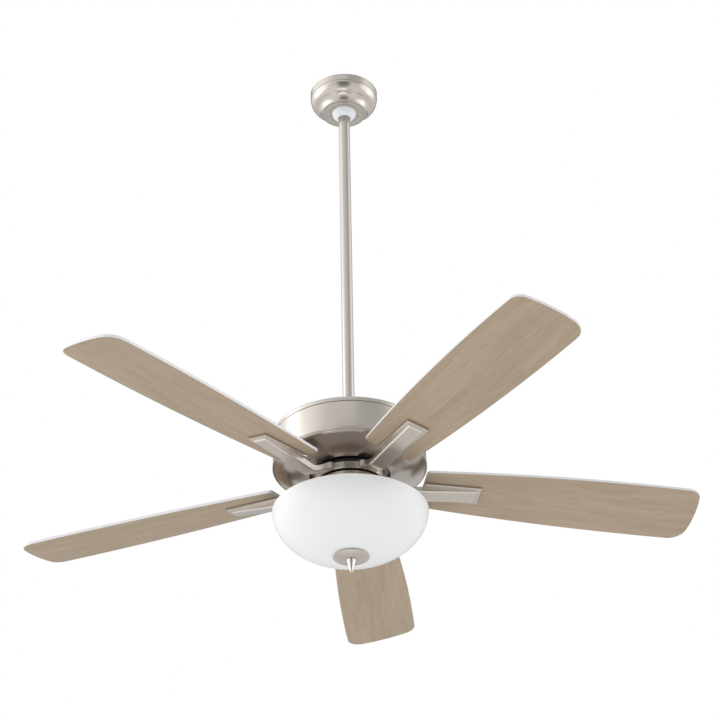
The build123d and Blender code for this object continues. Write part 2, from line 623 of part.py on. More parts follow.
def bearing_outer_races():
    """Two outer races, pressed in the motor case."""
    races = []
    for level in bearing_levels():
        race = ring(BEARING_RADIUS, BEARING_RADIUS - RACE_WALL, level, level + BEARING_WIDTH)
        races.append(race - ball_track(level, BEARING_BALL_RADIUS + RUN_GAP))
    return group(races)


def bearing_balls():
    """The balls of both bearings."""
    balls = []
    for level in bearing_levels():
        ball = Pos(BEARING_PITCH, 0, level + BEARING_WIDTH / 2) * Sphere(BEARING_BALL_RADIUS)
        balls += around(ball, BEARING_BALL_COUNT)
    return group(balls)


def stator_core():
    """Laminated core, fixed on the shaft, with slots in its rim."""
    body = ring(STATOR_RADIUS, SHAFT_RADIUS + FACE_GAP, CASE_SPLIT_Z - STATOR_HALF, CASE_SPLIT_Z + STATOR_HALF)
    slot = Pos(STATOR_RADIUS, 0, CASE_SPLIT_Z) * Box(2 * STATOR_SLOT_WIDTH, STATOR_SLOT_WIDTH, 2 * STATOR_HALF)
    return body - around(slot, STATOR_SLOTS)


def stator_windings():
    """Wound end turns above and below the core."""
    high = CASE_SPLIT_Z + STATOR_HALF
    low = CASE_SPLIT_Z - STATOR_HALF
    upper = ring(WINDING_OUTER, WINDING_INNER, high, high + WINDING_HEIGHT)
    lower = ring(WINDING_OUTER, WINDING_INNER, low - WINDING_HEIGHT, low)
    bend = WINDING_HEIGHT / 3
    upper = fillet(upper.edges().group_by(Axis.Z)[-1], bend)
    lower = fillet(lower.edges().group_by(Axis.Z)[0], bend)
    return group([upper, lower])


def rotor_ring():
    """Conductor ring round the core, fixed in the motor case."""
    half = STATOR_HALF + CASE_WALL
    outer = CASE_RADIUS - CASE_WALL - FACE_GAP
    return ring(outer, STATOR_RADIUS + AIR_GAP, CASE_SPLIT_Z - half, CASE_SPLIT_Z + half)


def case_screw_holes():
    """Bars for the screws through both lips of the motor case."""
    bar = disc(SMALL_SCREW_RADIUS + FACE_GAP, CASE_SPLIT_Z - CASE_WALL, CASE_SPLIT_Z + CASE_WALL)
    return around(Pos(CASE_SCREW_CIRCLE, 0, 0) * bar, CASE_SCREW_COUNT)


def rotor_case_upper():
    """Upper half of the turning motor case, with the upper bearing's seat."""
    collar = SHAFT_RADIUS + RACE_WALL
    lip = CASE_RADIUS + CASE_LIP
    inside = CASE_RADIUS - CASE_WALL
    ceiling = CASE_TOP_Z - CASE_WALL
    shelf = ceiling + SEAT_GAP
    body = turned_points((BEARING_RADIUS, UPPER_BEARING_Z), (BOSS_RADIUS, UPPER_BEARING_Z),
                         (BOSS_RADIUS, ceiling), (inside, ceiling), (inside, CASE_SPLIT_Z), (lip, CASE_SPLIT_Z),
                         (lip, CASE_SPLIT_Z + CASE_WALL), (CASE_RADIUS, CASE_SPLIT_Z + CASE_WALL),
                         (CASE_RADIUS, ceiling), (inside, CASE_TOP_Z), (collar, CASE_TOP_Z),
                         (collar, shelf), (BEARING_RADIUS, shelf))
    return body - case_screw_holes()


def rotor_case_lower():
    """Lower half of the motor case, with the lower bearing's seat and the nose for the flywheel."""
    seat = LOWER_BEARING_Z + BEARING_WIDTH
    lip = CASE_RADIUS + CASE_LIP
    inside = CASE_RADIUS - CASE_WALL
    floor = CASE_LOW_Z + CASE_WALL
    body = turned_points((BEARING_RADIUS, FLYWHEEL_TOP_Z), (NOSE_RADIUS, FLYWHEEL_TOP_Z),
                         (NOSE_RADIUS, CASE_LOW_Z), (inside, CASE_LOW_Z), (CASE_RADIUS, floor),
                         (CASE_RADIUS, CASE_SPLIT_Z - CASE_WALL),
                         (lip, CASE_SPLIT_Z - CASE_WALL), (lip, CASE_SPLIT_Z), (inside, CASE_SPLIT_Z),
                         (inside, floor), (BOSS_RADIUS, floor), (BOSS_RADIUS, seat), (BEARING_RADIUS, seat))
    return body - case_screw_holes() - flywheel_bars(FLYWHEEL_TOP_Z, FLYWHEEL_TOP_Z + FLYWHEEL_THICKNESS / 2)


def rotor_case_screws():
    """Six screws round the lips of the motor case."""
    one = Pos(CASE_SCREW_CIRCLE, 0, CASE_SPLIT_Z + CASE_WALL) * Rot(180, 0, 0) * screw(
        SMALL_SCREW_RADIUS, 2 * CASE_WALL, SLIM_HEAD)
    return group(around(one, CASE_SCREW_COUNT))


# ---------------------------------------------------------------- hub
def blade_angles():
    """The direction of each blade about the fan's axis."""
    return [FIRST_BLADE_ANGLE + 360.0 / BLADE_COUNT * blade for blade in range(BLADE_COUNT)]


def iron_bolt_places():
    """Angle of each blade iron's bolts about the fan's axis."""
    return [angle + side * IRON_BOLT_ANGLE for angle in blade_angles() for side in (-1, 1)]


def flywheel():
    """Cast ring between the motor case's nose and the blade irons."""
    body = ring(FLYWHEEL_RADIUS, FLYWHEEL_BORE, HUB_TOP_Z, FLYWHEEL_TOP_Z)
    body -= flywheel_bars(HUB_TOP_Z, FLYWHEEL_TOP_Z)
    bolt = Pos(IRON_BOLT_CIRCLE, 0, 0) * disc(IRON_BOLT_RADIUS + FACE_GAP, HUB_TOP_Z, FLYWHEEL_TOP_Z)
    return body - [Rot(0, 0, angle) * bolt for angle in iron_bolt_places()]


def flywheel_screws():
    """Four screws that hold the flywheel on the nose."""
    length = FLYWHEEL_THICKNESS + FLYWHEEL_THICKNESS / 2
    one = Pos(FLYWHEEL_SCREW_CIRCLE, 0, HUB_TOP_Z) * screw(IRON_BOLT_RADIUS, length)
    return group(around(one, FLYWHEEL_SCREW_COUNT, FLYWHEEL_SCREW_TURN))


def iron_bolts():
    """Two bolts for each blade iron, with their heads sunk in the foot."""
    sink = 2 * IRON_BOLT_RADIUS
    length = HUB_HEIGHT - sink + FLYWHEEL_THICKNESS
    one = Pos(IRON_BOLT_CIRCLE, 0, HUB_LOW_Z + sink) * screw(IRON_BOLT_RADIUS, length)
    return group([Rot(0, 0, angle) * one for angle in iron_bolt_places()])


# ---------------------------------------------------------------- blade irons
def pitched(shape):
    """Tilt a shape about the blade's length, and lift it to the blade's level."""
    return Pos(0, 0, BLADE_Z) * Rot(BLADE_PITCH, 0, 0) * shape


def arm_section(x, low, high, share):
    """Cross-section of the arm at a radius, turned by a share of the blade's pitch."""
    face = Rectangle(ARM_WIDTH, high - low)
    return Pos(x, 0, 0) * Rot(BLADE_PITCH * share, 0, 0) * Pos(0, 0, (low + high) / 2) * (Plane.YZ * face)


def iron_foot():
    """One fifth of the hub ring, with sunk bolt holes."""
    half = 180.0 / BLADE_COUNT - HUB_SEAM_ANGLE / 2
    section = Plane.XZ * (Pos((HUB_RADIUS + HUB_INNER) / 2, (HUB_TOP_Z + HUB_LOW_Z) / 2)
                          * Rectangle(HUB_RADIUS - HUB_INNER, HUB_HEIGHT))
    body = revolve(Rot(0, 0, -half) * section, Axis.Z, revolution_arc=2 * half)
    sink = 2 * IRON_BOLT_RADIUS
    for side in (-1, 1):
        place = Rot(0, 0, side * IRON_BOLT_ANGLE) * Pos(IRON_BOLT_CIRCLE, 0, 0)
        body -= place * disc(IRON_BOLT_RADIUS + FACE_GAP, HUB_LOW_Z, HUB_TOP_Z)
        body -= place * disc(sink, HUB_LOW_Z, HUB_LOW_Z + sink)
    return body


def arm_straight():
    """The arm's outer stretch, under the blade, seen from the side and given its width."""
    tip = PLATE_END - PLATE_BORDER
    under = -PLATE_THICKNESS
    side = Polyline((ARM_NECK, -ARM_NECK_HIGH), (BLADE_ROOT, under), (tip, under),
                    (tip - ARM_TIP_BEVEL, under - ARM_TIP_DROP), (ARM_MID, under - ARM_MID_DROP),
                    (ARM_NECK, -ARM_NECK_LOW), close=True)
    return Pos(0, ARM_WIDTH / 2, 0) * extrude(Plane.XZ * make_face(side), amount=ARM_WIDTH)


def arm_twisted():
    """The arm's inner stretch: it leaves the hub flat, dips and turns to the blade's pitch."""
    foot_low = ARM_INSET - BLADE_RISE
    foot_high = HUB_HEIGHT - BLADE_RISE - ARM_INSET
    sections = [arm_section(HUB_RADIUS - ARM_IN_HUB, foot_low, foot_high, 0)]
    for station in range(ARM_STATIONS + 1):
        share = station / ARM_STATIONS
        ease = sin(radians(90 * share))
        low = foot_low - (foot_low + ARM_NECK_LOW) * ease
        high = foot_high - (foot_high + ARM_NECK_HIGH) * ease
        sections.append(arm_section(HUB_RADIUS + (ARM_NECK - HUB_RADIUS) * share, low, high, ease))
    return Pos(0, 0, BLADE_Z) * loft([face.face() for face in sections], ruled=True)


def blade_iron(angle):
    """Cast iron: a foot in the hub ring, an arm that dips and twists, and a plate under the blade."""
    plate = block((BLADE_ROOT, PLATE_END), (-PLATE_WIDTH / 2, PLATE_WIDTH / 2), (-PLATE_THICKNESS, 0))
    body = pitched(plate + arm_straight()) + arm_twisted()
    body -= pitched(Compound(children=blade_screw_bars(BLADE_SCREW_RADIUS + FACE_GAP)))
    return Rot(0, 0, angle) * (body + iron_foot())


# ---------------------------------------------------------------- blades
def blade_screw_points():
    """Where each blade's screws stand, as radius and offset."""
    near = BLADE_ROOT + BLADE_SCREW_INSET
    far = PLATE_END - PLATE_BORDER - BLADE_SCREW_INSET / 2
    return [(near, -BLADE_SCREW_SPREAD), (near, BLADE_SCREW_SPREAD), (far, 0.0)]


def blade_screw_bars(radius):
    """Bars for the screw holes, through the blade and into the plate."""
    bar = extrude(Circle(radius), amount=BLADE_THICKNESS + PLATE_THICKNESS)
    return [Pos(x, y, -PLATE_THICKNESS) * bar for x, y in blade_screw_points()]


def blade_outline():
    """The blade's flat shape: bulged sides that widen to a rounded tip."""
    tip = SWEEP_RADIUS - TIP_BULGE
    middle = (BLADE_ROOT + tip) / 2
    leading = (ROOT_LEADING + TIP_LEADING) / 2 + LEADING_BULGE
    trailing = (ROOT_TRAILING + TIP_TRAILING) / 2 + TRAILING_BULGE
    point = (SWEEP_RADIUS, (TIP_LEADING - TIP_TRAILING) / 2)
    outline = make_face(Curve() + [
        Line((BLADE_ROOT, -ROOT_TRAILING), (BLADE_ROOT, ROOT_LEADING)),
        ThreePointArc((BLADE_ROOT, ROOT_LEADING), (middle, leading), (tip, TIP_LEADING)),
        ThreePointArc((tip, TIP_LEADING), point, (tip, -TIP_TRAILING)),
        ThreePointArc((tip, -TIP_TRAILING), (middle, -trailing), (BLADE_ROOT, -ROOT_TRAILING)),
    ])
    outline = fillet(outline.vertices().sort_by(Axis.X)[:2], ROOT_CORNER)
    for side, radius in ((TIP_LEADING, TIP_LEADING_CORNER), (-TIP_TRAILING, TIP_TRAILING_CORNER)):
        outline = fillet(outline.vertices().sort_by_distance((tip, side))[0], radius)
    return outline


def blade(angle):
    """Thin plywood blade with three screw holes."""
    body = extrude(blade_outline(), amount=BLADE_THICKNESS)
    body -= blade_screw_bars(BLADE_SCREW_RADIUS + SEAT_GAP)
    return Rot(0, 0, angle) * pitched(body)


def on_blades(shape, level):
    """A copy of a shape at every blade screw, at a level above the blade's underside."""
    places = [pitched(Pos(x, y, level) * shape) for x, y in blade_screw_points()]
    return group([Rot(0, 0, angle) * place for angle in blade_angles() for place in places])


def blade_washers():
    """A washer under the head of each blade screw."""
    face = Circle(BLADE_SCREW_RADIUS * WASHER_RATIO) - Circle(BLADE_SCREW_RADIUS + SEAT_GAP)
    return on_blades(extrude(face, amount=WASHER_THICKNESS), BLADE_THICKNESS)


def blade_screws():
    """Three screws for each blade, from above, into the iron's plate."""
    level = BLADE_THICKNESS + WASHER_THICKNESS
    one = screw(BLADE_SCREW_RADIUS, level + PLATE_THICKNESS)
    return on_blades(Rot(180, 0, 0) * one, level)


# ---------------------------------------------------------------- light kit
def neck_screw_bars():
    """Bars for the screws through the neck's wall and the plate's lip."""
    bar = extrude(Circle(SMALL_SCREW_RADIUS + FACE_GAP), amount=3 * SHEET + TRIM_GAP)
    start = NECK_RADIUS - 3 * SHEET - TRIM_GAP
    return around(across(bar, 90, start, NECK_TOP_Z - NECK_SCREW_DROP), NECK_SCREW_COUNT)


def neck_plate():
    """Plate on the shaft's end, with a lip that the neck is screwed to."""
    low = NECK_TOP_Z - NECK_PLATE
    body = ring(NECK_RADIUS, SHAFT_RADIUS + FACE_GAP, low, NECK_TOP_Z)
    lip = NECK_RADIUS - SHEET - FACE_GAP
    body += ring(lip, lip - 2 * SHEET, low - NECK_LIP_HEIGHT, low)
    return body - neck_screw_bars()


def shaft_nut():
    """Nut that holds the neck's plate on the shaft."""
    return hexagon(SHAFT_RADIUS + SHAFT_NUT_WALL, SHAFT_RADIUS + FACE_GAP, SHAFT_NUT_Z, NECK_TOP_Z - NECK_PLATE)


def neck():
    """Cup under the hub: it holds the switch and capacitor, and the lamps hang from its floor."""
    top = NECK_TOP_Z - NECK_PLATE
    floor = NECK_LOW_Z + SHEET
    body = disc(NECK_RADIUS, NECK_LOW_Z, top) - disc(NECK_RADIUS - SHEET, floor, top)
    body -= disc(STEM_RADIUS + FACE_GAP, NECK_LOW_Z, floor)
    return body - neck_screw_bars() - switch_slot(-NECK_RADIUS, -NECK_RADIUS + 2 * SHEET)


def neck_screws():
    """Three screws round the neck."""
    one = screw(SMALL_SCREW_RADIUS, 3 * SHEET)
    first = Pos(0, NECK_RADIUS, NECK_TOP_Z - NECK_SCREW_DROP) * Rot(90, 0, 0) * one
    return group(around(first, NECK_SCREW_COUNT))


def capacitor():
    """Speed capacitor on the neck's floor."""
    half = CAPACITOR_WIDTH / 2
    low = NECK_LOW_Z + SHEET
    body = block((-half, half), (half, half + CAPACITOR_DEPTH), (low, low + CAPACITOR_HEIGHT))
    return fillet(body.edges().filter_by(Axis.Z), CAPACITOR_CORNER)


def switch_slot(front, back):
    """The space that the reverse switch's knob slides in."""
    half = SWITCH_KNOB_WIDTH / 2 + TRIM_GAP
    low = SWITCH_LOW_Z - SWITCH_TRAVEL - TRIM_GAP
    return block((-half, half), (front, back), (low, SWITCH_HIGH_Z + TRIM_GAP))


def reverse_switch_body():
    """Switch behind the neck's wall, with a slot that the knob slides in."""
    half = SWITCH_WIDTH / 2
    front = -sqrt((NECK_RADIUS - SHEET) ** 2 - half ** 2) + FACE_GAP
    low = SWITCH_LOW_Z - SWITCH_TRAVEL - SWITCH_BORDER
    body = block((-half, half), (front, front + SWITCH_DEPTH), (low, SWITCH_HIGH_Z + SWITCH_BORDER))
    return body - switch_slot(front, front + SWITCH_SLOT_DEPTH)


def reverse_switch_knob():
    """Slider that reverses the motor; it stands through the neck's wall."""
    half = SWITCH_KNOB_WIDTH / 2
    inner = -NECK_RADIUS + SHEET + SWITCH_SLOT_DEPTH - TRIM_GAP
    return block((-half, half), (-NECK_RADIUS - SWITCH_KNOB_REACH, inner), (SWITCH_LOW_Z, SWITCH_HIGH_Z))


def lamp_body():
    """Can under the neck that carries the lamp sockets."""
    body = disc(LAMP_BODY_RADIUS, LAMP_BODY_LOW_Z, NECK_LOW_Z)
    body -= disc(LAMP_BODY_RADIUS - SHEET, LAMP_BODY_LOW_Z + SHEET, NECK_LOW_Z - SHEET)
    body -= disc(STEM_RADIUS + FACE_GAP, LAMP_BODY_LOW_Z, NECK_LOW_Z)
    hole = extrude(Circle(SOCKET_RADIUS + FACE_GAP), amount=LAMP_BODY_RADIUS)
    return body - around(across(hole, 0, 2 * STEM_RADIUS, SOCKET_Z), LAMP_COUNT)


def lamp_sockets():
    """Lamp sockets that point outwards."""
    shell = extrude(Circle(SOCKET_RADIUS), amount=SOCKET_LENGTH)
    shell -= Pos(0, 0, SOCKET_FLOOR) * extrude(Circle(SOCKET_BORE), amount=SOCKET_LENGTH)
    return group(around(across(shell, 0, SOCKET_START, SOCKET_Z), LAMP_COUNT))


def lamp_bulb_shape():
    """One bulb along +Z: a screw base, a cone and a round globe."""
    base = BULB_GRIP + SHEET
    globe = BULB_REACH - BULB_RADIUS
    join = (BULB_SHOULDER, globe - sqrt(BULB_RADIUS ** 2 - BULB_SHOULDER ** 2))
    profile = Curve() + [
        Polyline((0, BULB_REACH), (0, 0), (BULB_BASE_RADIUS, 0), (BULB_BASE_RADIUS, base), join),
        ThreePointArc(join, (BULB_RADIUS, globe), (0, BULB_REACH)),
    ]
    return revolve(Plane.XZ * make_face(profile), Axis.Z)


def lamp_bulbs():
    """One bulb in each socket."""
    seat = SOCKET_START + SOCKET_LENGTH - BULB_GRIP
    return group(around(across(lamp_bulb_shape(), 0, seat, SOCKET_Z), LAMP_COUNT))


def stem():
    """Threaded tube from the neck's floor, through the bowl, into the finial."""
    return ring(STEM_RADIUS, STEM_BORE, STEM_LOW_Z, STEM_TOP_Z)


def stem_nuts():
    """Two nuts that clamp the neck's floor and the lamp body on the stem."""
    floor = NECK_LOW_Z + SHEET
    upper = hexagon(NUT_RADIUS, STEM_RADIUS + FACE_GAP, floor, floor + NUT_HEIGHT)
    lower = hexagon(NUT_RADIUS, STEM_RADIUS + FACE_GAP, LAMP_BODY_LOW_Z - NUT_HEIGHT, LAMP_BODY_LOW_Z)
    return group([upper, lower])


# ---------------------------------------------------------------- bowl and finial
def bowl_profile(radius, depth, level):
    """Half of a half ellipse, turned into a solid bowl below its rim."""
    curve = EllipticalCenterArc((0, BOWL_RIM_Z), radius, depth, start_angle=270, arc_size=90)
    sides = Polyline((radius, BOWL_RIM_Z), (0, BOWL_RIM_Z), (0, BOWL_RIM_Z - depth))
    return turned(curve, sides) & disc(radius, level, BOWL_RIM_Z)


def glass_bowl():
    """Opal glass bowl, open at the top, with a flat land and a hole at the bottom."""
    outer = bowl_profile(BOWL_RADIUS, BOWL_DEPTH, BOWL_LOW_Z)
    inner = bowl_profile(BOWL_RADIUS - BOWL_WALL, BOWL_DEPTH - BOWL_WALL, BOWL_LOW_Z + BOWL_WALL - BOWL_LAND)
    body = outer - inner
    return body - disc(BOWL_HOLE_RADIUS, BOWL_LOW_Z, BOWL_LOW_Z + 2 * BOWL_WALL)


def bowl_gasket():
    """Rubber ring between the bowl and the finial's cap."""
    return ring(GASKET_RADIUS, BOWL_HOLE_RADIUS, GASKET_LOW_Z, GASKET_LOW_Z + GASKET_THICKNESS)


def finial_cap():
    """Shallow dish that carries the bowl."""
    bore = STEM_RADIUS + RUN_GAP
    rim = GASKET_LOW_Z + CAP_RIM
    land = GASKET_RADIUS + CAP_RIM
    belly = ((KNOB_RADIUS + CAP_RADIUS) / 2, (CAP_LOW_Z + rim) / 2 - CAP_RIM)
    return turned(
        Polyline((CAP_RADIUS, rim - CAP_RIM / 2), (CAP_RADIUS - CAP_RIM, rim), (land, GASKET_LOW_Z),
                 (bore, GASKET_LOW_Z), (bore, CAP_LOW_Z), (KNOB_RADIUS, CAP_LOW_Z)),
        ThreePointArc((KNOB_RADIUS, CAP_LOW_Z), belly, (CAP_RADIUS, rim - CAP_RIM / 2)),
    )


def finial_knob():
    """Knob that screws on the stem: a rounded shoulder, a taper and a small hollow at the tip."""
    low = CAP_LOW_Z - KNOB_LENGTH
    shoulder = (KNOB_RADIUS, CAP_LOW_Z)
    waist = (KNOB_WAIST, CAP_LOW_Z - KNOB_LENGTH / 2)
    tip = (KNOB_TIP_RADIUS, low)
    hollow = KNOB_TIP_RADIUS / 2
    body = turned(
        ThreePointArc(shoulder, waist, tip),
        Polyline(tip, (hollow, low), (0, low + hollow), (0, CAP_LOW_Z), shoulder),
    )
    return body - disc(STEM_RADIUS + RUN_GAP, STEM_LOW_Z - FACE_GAP, CAP_LOW_Z)


# ---------------------------------------------------------------- the whole fan
def nodes():
    """Every node's name and shape."""
    makers = [
        ceiling_bracket, canopy, canopy_screws, hanger_ball, downrod, motor_yoke, clevis_pin, hairpin,
        yoke_set_screws, coupling_cover, upper_housing, housing_screws, lower_housing, motor_shaft,
        bearing_inner_races, bearing_outer_races, bearing_balls, stator_core, stator_windings, rotor_ring,
        rotor_case_upper, rotor_case_lower, rotor_case_screws, flywheel, flywheel_screws, iron_bolts,
        blade_washers, blade_screws, neck_plate, shaft_nut, neck, neck_screws, capacitor,
        reverse_switch_body, reverse_switch_knob, lamp_body, lamp_sockets, lamp_bulbs, stem, stem_nuts,
        glass_bowl, bowl_gasket, finial_cap, finial_knob,
    ]
    shapes = {maker.__name__: maker() for maker in makers}
    shapes["ball_cross_pin"] = cross_pin_bar(CROSS_PIN_RADIUS)
    for number, angle in enumerate(blade_angles(), start=1):
        shapes[f"blade_iron_{number}"] = blade_iron(angle)
        shapes[f"blade_{number}"] = blade(angle)
    return shapes


def main():
    """Write one STEP file for each node."""
    os.makedirs("parts", exist_ok=True)
    for name, shape in nodes().items():
        export_step(shape, f"parts/{name}.step")


main()
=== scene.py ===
"""Finish pieces for a ceiling fan with a bowl light, built round its packed frame."""

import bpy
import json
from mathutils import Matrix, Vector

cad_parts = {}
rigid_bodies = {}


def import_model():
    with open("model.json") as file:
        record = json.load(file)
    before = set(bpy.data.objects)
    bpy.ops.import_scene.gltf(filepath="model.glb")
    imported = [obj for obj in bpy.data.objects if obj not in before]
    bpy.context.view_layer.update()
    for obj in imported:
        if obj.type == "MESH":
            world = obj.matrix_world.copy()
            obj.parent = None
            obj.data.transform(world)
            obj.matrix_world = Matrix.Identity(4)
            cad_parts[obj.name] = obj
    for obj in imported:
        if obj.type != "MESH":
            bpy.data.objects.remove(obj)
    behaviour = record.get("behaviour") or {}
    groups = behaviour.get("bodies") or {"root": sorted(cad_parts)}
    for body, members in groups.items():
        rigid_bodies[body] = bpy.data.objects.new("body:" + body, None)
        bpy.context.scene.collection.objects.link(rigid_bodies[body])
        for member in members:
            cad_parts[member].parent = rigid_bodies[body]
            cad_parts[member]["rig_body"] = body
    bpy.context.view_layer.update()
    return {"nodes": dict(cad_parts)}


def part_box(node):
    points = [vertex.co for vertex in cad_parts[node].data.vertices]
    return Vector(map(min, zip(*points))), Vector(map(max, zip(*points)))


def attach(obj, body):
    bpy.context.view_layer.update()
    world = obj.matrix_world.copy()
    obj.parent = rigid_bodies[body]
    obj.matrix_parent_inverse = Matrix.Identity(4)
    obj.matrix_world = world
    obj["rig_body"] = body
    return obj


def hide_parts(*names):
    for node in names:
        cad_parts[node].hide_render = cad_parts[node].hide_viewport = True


bl_info = {
    "name": "Ceiling Fan Finishes",
    "version": (1, 0, 0),
    "blender": (4, 5, 0),
    "location": "View3D > Sidebar > Ceiling Fan",
    "description": "Builds the visible pieces and finishes of a ceiling fan with a bowl light",
    "category": "Object",
}

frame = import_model()

import json
from math import atan2, ceil, cos, degrees, pi, radians, sin, tan

import bmesh
import bpy
from mathutils import Matrix, Vector

MM = 0.001
TURN_STEPS = 192          # segments of a turned piece
ARC_STEP = radians(9)     # a fillet's segment
SHARP = radians(24)       # edges sharper than this stay crisp
POLE = 0.0002 * MM        # radius that stands for the axis, so that a turned piece closes there
HEM = 0.3 * MM            # rounding of a sheet's cut edge
EDGE = 0.5 * MM           # rounding of a plain edge
BLADES = [f"blade_{number}" for number in range(1, 6)]
IRONS = [f"blade_iron_{number}" for number in range(1, 6)]
STEP_ANGLE = 360 / len(BLADES)
FIRST_ANGLE = -60.0       # direction of the first blade, in degrees from X
SCREW_HEAD = 1.7          # a screw head's radius, in radii of its shank
TRIM_SCREW = 2.0 * MM     # shank radius of the canopy's and the neck's screws
BOWL_RINGS = 72           # rows of faces down the bowl


def reach(node):
    """A round node's radius, lowest level and highest level."""
    low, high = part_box(node)
    return high.x, low.z, high.z


RING_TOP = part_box("flywheel")[0].z
RING_RADIUS = reach("flywheel")[0] + 3.3 * MM       # the irons' ring stands out past the flywheel
BLADE_LEVEL = RING_TOP - 11.2 * MM                  # the blades' undersides, where they cross the axis


# ---------------------------------------------------------------- sizes and colours
def length(name, description, millimetres):
    """A size property, given in millimetres and kept in metres."""
    return bpy.props.FloatProperty(name=name, description=description, default=millimetres * MM,
                                   min=0.0, unit="LENGTH", precision=4)


def angle(name, description, value):
    """An angle property, given in degrees and kept in radians."""
    return bpy.props.FloatProperty(name=name, description=description, default=radians(value),
                                   subtype="ANGLE")


def colour(name, description, value):
    """A colour property, as linear light."""
    return bpy.props.FloatVectorProperty(name=name, description=description, default=value, size=3,
                                         subtype="COLOR", min=0.0, max=1.0)


def share(name, description, value):
    """A plain number from 0 to 1."""
    return bpy.props.FloatProperty(name=name, description=description, default=value, min=0.0, max=1.0)


class FanCanopySizes(bpy.types.PropertyGroup):
    """Sizes of the ceiling canopy and the coupling cover."""
    wall: length("Wall", "Thickness of the spun sheet", 1.2)
    band: length("Band", "Height of the plain band under the ceiling", 15.5)
    groove: length("Groove", "Depth of the groove under the band", 1.0)
    bulge: length("Bulge", "How far the shoulder bows out", 3.5)
    bulge_drop: length("Bulge drop", "Height of the rounded shoulder", 22.5)
    bulge_inset: length("Bulge inset", "How far the shoulder's foot stands in from the band", 12.5)
    cove_width: length("Cove width", "Width of the cove between the shoulder and the foot", 13.5)
    cove: length("Cove", "How far the cove bows in", 2.2)
    foot_height: length("Foot height", "Height of the flat foot", 3.6)
    bead_radius: length("Bead radius", "Radius of the raised ring on the foot", 41.0)
    bead: length("Bead", "Half width of the raised ring", 1.3)
    hole_radius: length("Hole radius", "Radius of the hole round the hanger ball", 29.5)
    cover_lip: length("Cover lip", "Rounding of the coupling cover's top edge", 2.4)
    cover_flare: length("Cover flare", "How far the cover's foot stands out from its neck", 14.1)
    cover_sweep: length("Cover sweep", "How far the cover's flare bows in", 2.6)
    cover_foot: length("Cover foot", "Height of the cover's plain foot", 1.6)
    cover_step: length("Cover step", "Width of the step above the foot", 1.2)
    cover_gap: length("Cover gap", "Gap between the cover and the rod", 0.4)


class FanMotorSizes(bpy.types.PropertyGroup):
    """Sizes of the motor's drum and pan."""
    band: length("Rim band", "Height of the band round the drum's top", 11.0)
    groove: length("Groove", "Width of the dark line under the band", 1.9)
    edge: length("Edge", "Rounding of the drum's top edge", 3.0)
    flare: length("Flare", "How far the drum's foot stands out from its rim", 2.2)
    crown: length("Crown", "Width of the slope beside the drum's top edge", 9.0)
    crown_drop: length("Crown drop", "Height of that slope", 1.4)
    rod_hole: length("Rod hole", "Radius of the hole in the drum's top", 18.4)
    wall: length("Wall", "Thickness of the spun sheet", 1.4)
    bead: length("Bead", "Height of each ring at the drum's foot", 1.9)
    bead_groove: length("Bead groove", "Depth of the groove between the rings", 1.0)
    roll: length("Roll", "Radius of the pan's rolled edge", 1.8)
    belly: length("Belly", "How far the pan's underside hollows", 3.4)
    mouth: length("Mouth", "Radius of the pan's mouth round the hub", 84.8)
    collar: length("Collar", "How far the pan's collar stands in from its edge", 2.85)


class FanIronSizes(bpy.types.PropertyGroup):
    """Sizes of a blade iron."""
    plate_root: length("Plate root", "Distance of the plate's near end from the axis", 156.5)
    plate_end: length("Plate end", "Distance of the plate's far end from the axis", 280.0)
    plate_width: length("Plate width", "Width of the plate under the blade", 50.0)
    plate: length("Plate thickness", "Thickness of the plate under the blade", 6.0)
    border: length("Border", "Width of the plate that shows beside the arm", 8.0)
    arm_width: length("Arm width", "Width of the arm", 34.0)
    bevel: length("Bevel", "Width of the bevel along the arm's lower edges", 2.2)
    neck: length("Neck", "Distance of the arm's lowest point from the axis", 128.0)
    neck_low: length("Neck low", "Drop of the arm's lowest point under the blade", 22.5)
    neck_high: length("Neck high", "Drop of the arm's upper face there", 9.5)
    tip_low: length("Tip low", "Drop of the arm's face at its tip", 10.4)
    fillet: length("Fillet", "How far the arm flares where it leaves the ring", 6.0)
    flare: length("Flare", "Length over which the arm flares", 22.0)
    ring_width: length("Ring width", "Width of the ring that the irons make up", 31.3)
    ring_drop: length("Ring drop", "Drop of the ring's underside under the blade", 5.5)
    ring_edge: length("Ring edge", "Rounding of the ring's outer edges", 1.2)
    seam: angle("Seam", "Gap between two irons in the ring", 0.7)


class FanBladeSizes(bpy.types.PropertyGroup):
    """Sizes of a blade."""
    root: length("Root", "Distance of the root from the axis", 156.5)
    tip: length("Tip", "Distance of the tip from the axis", 762.0)
    tip_bulge: length("Tip bulge", "How far the tip's edge bows out", 8.0)
    thickness: length("Thickness", "Thickness of the plywood", 6.0)
    root_lead: length("Root, leading side", "Half width at the root", 57.0)
    root_trail: length("Root, trailing side", "Half width at the root", 55.5)
    tip_lead: length("Tip, leading side", "Half width at the tip", 89.0)
    tip_trail: length("Tip, trailing side", "Half width at the tip", 72.0)
    lead_bulge: length("Leading bulge", "How far the leading edge bows out", 8.4)
    trail_bulge: length("Trailing bulge", "How far the trailing edge bows out", 10.0)
    root_corner: length("Root corner", "Radius of the corners at the root", 8.0)
    lead_corner: length("Leading corner", "Radius of the leading corner at the tip", 38.0)
    trail_corner: length("Trailing corner", "Radius of the trailing corner at the tip", 28.0)
    round_over: length("Round-over", "Rounding of the edges", 0.9)
    pitch: angle("Pitch", "Turn of the blade about its length", -11.6)
    screw_radius: length("Screw radius", "Shank radius of the blade screws", 2.1)
    screw_inset: length("Screw inset", "Distance of the inner screws from the root", 20.0)
    screw_spread: length("Screw spread", "Half the distance between the inner screws", 14.0)
    screw_end: length("Screw end", "Distance of the outer screw from the arm's tip", 10.0)
    washer: length("Washer", "Thickness of a washer", 1.0)


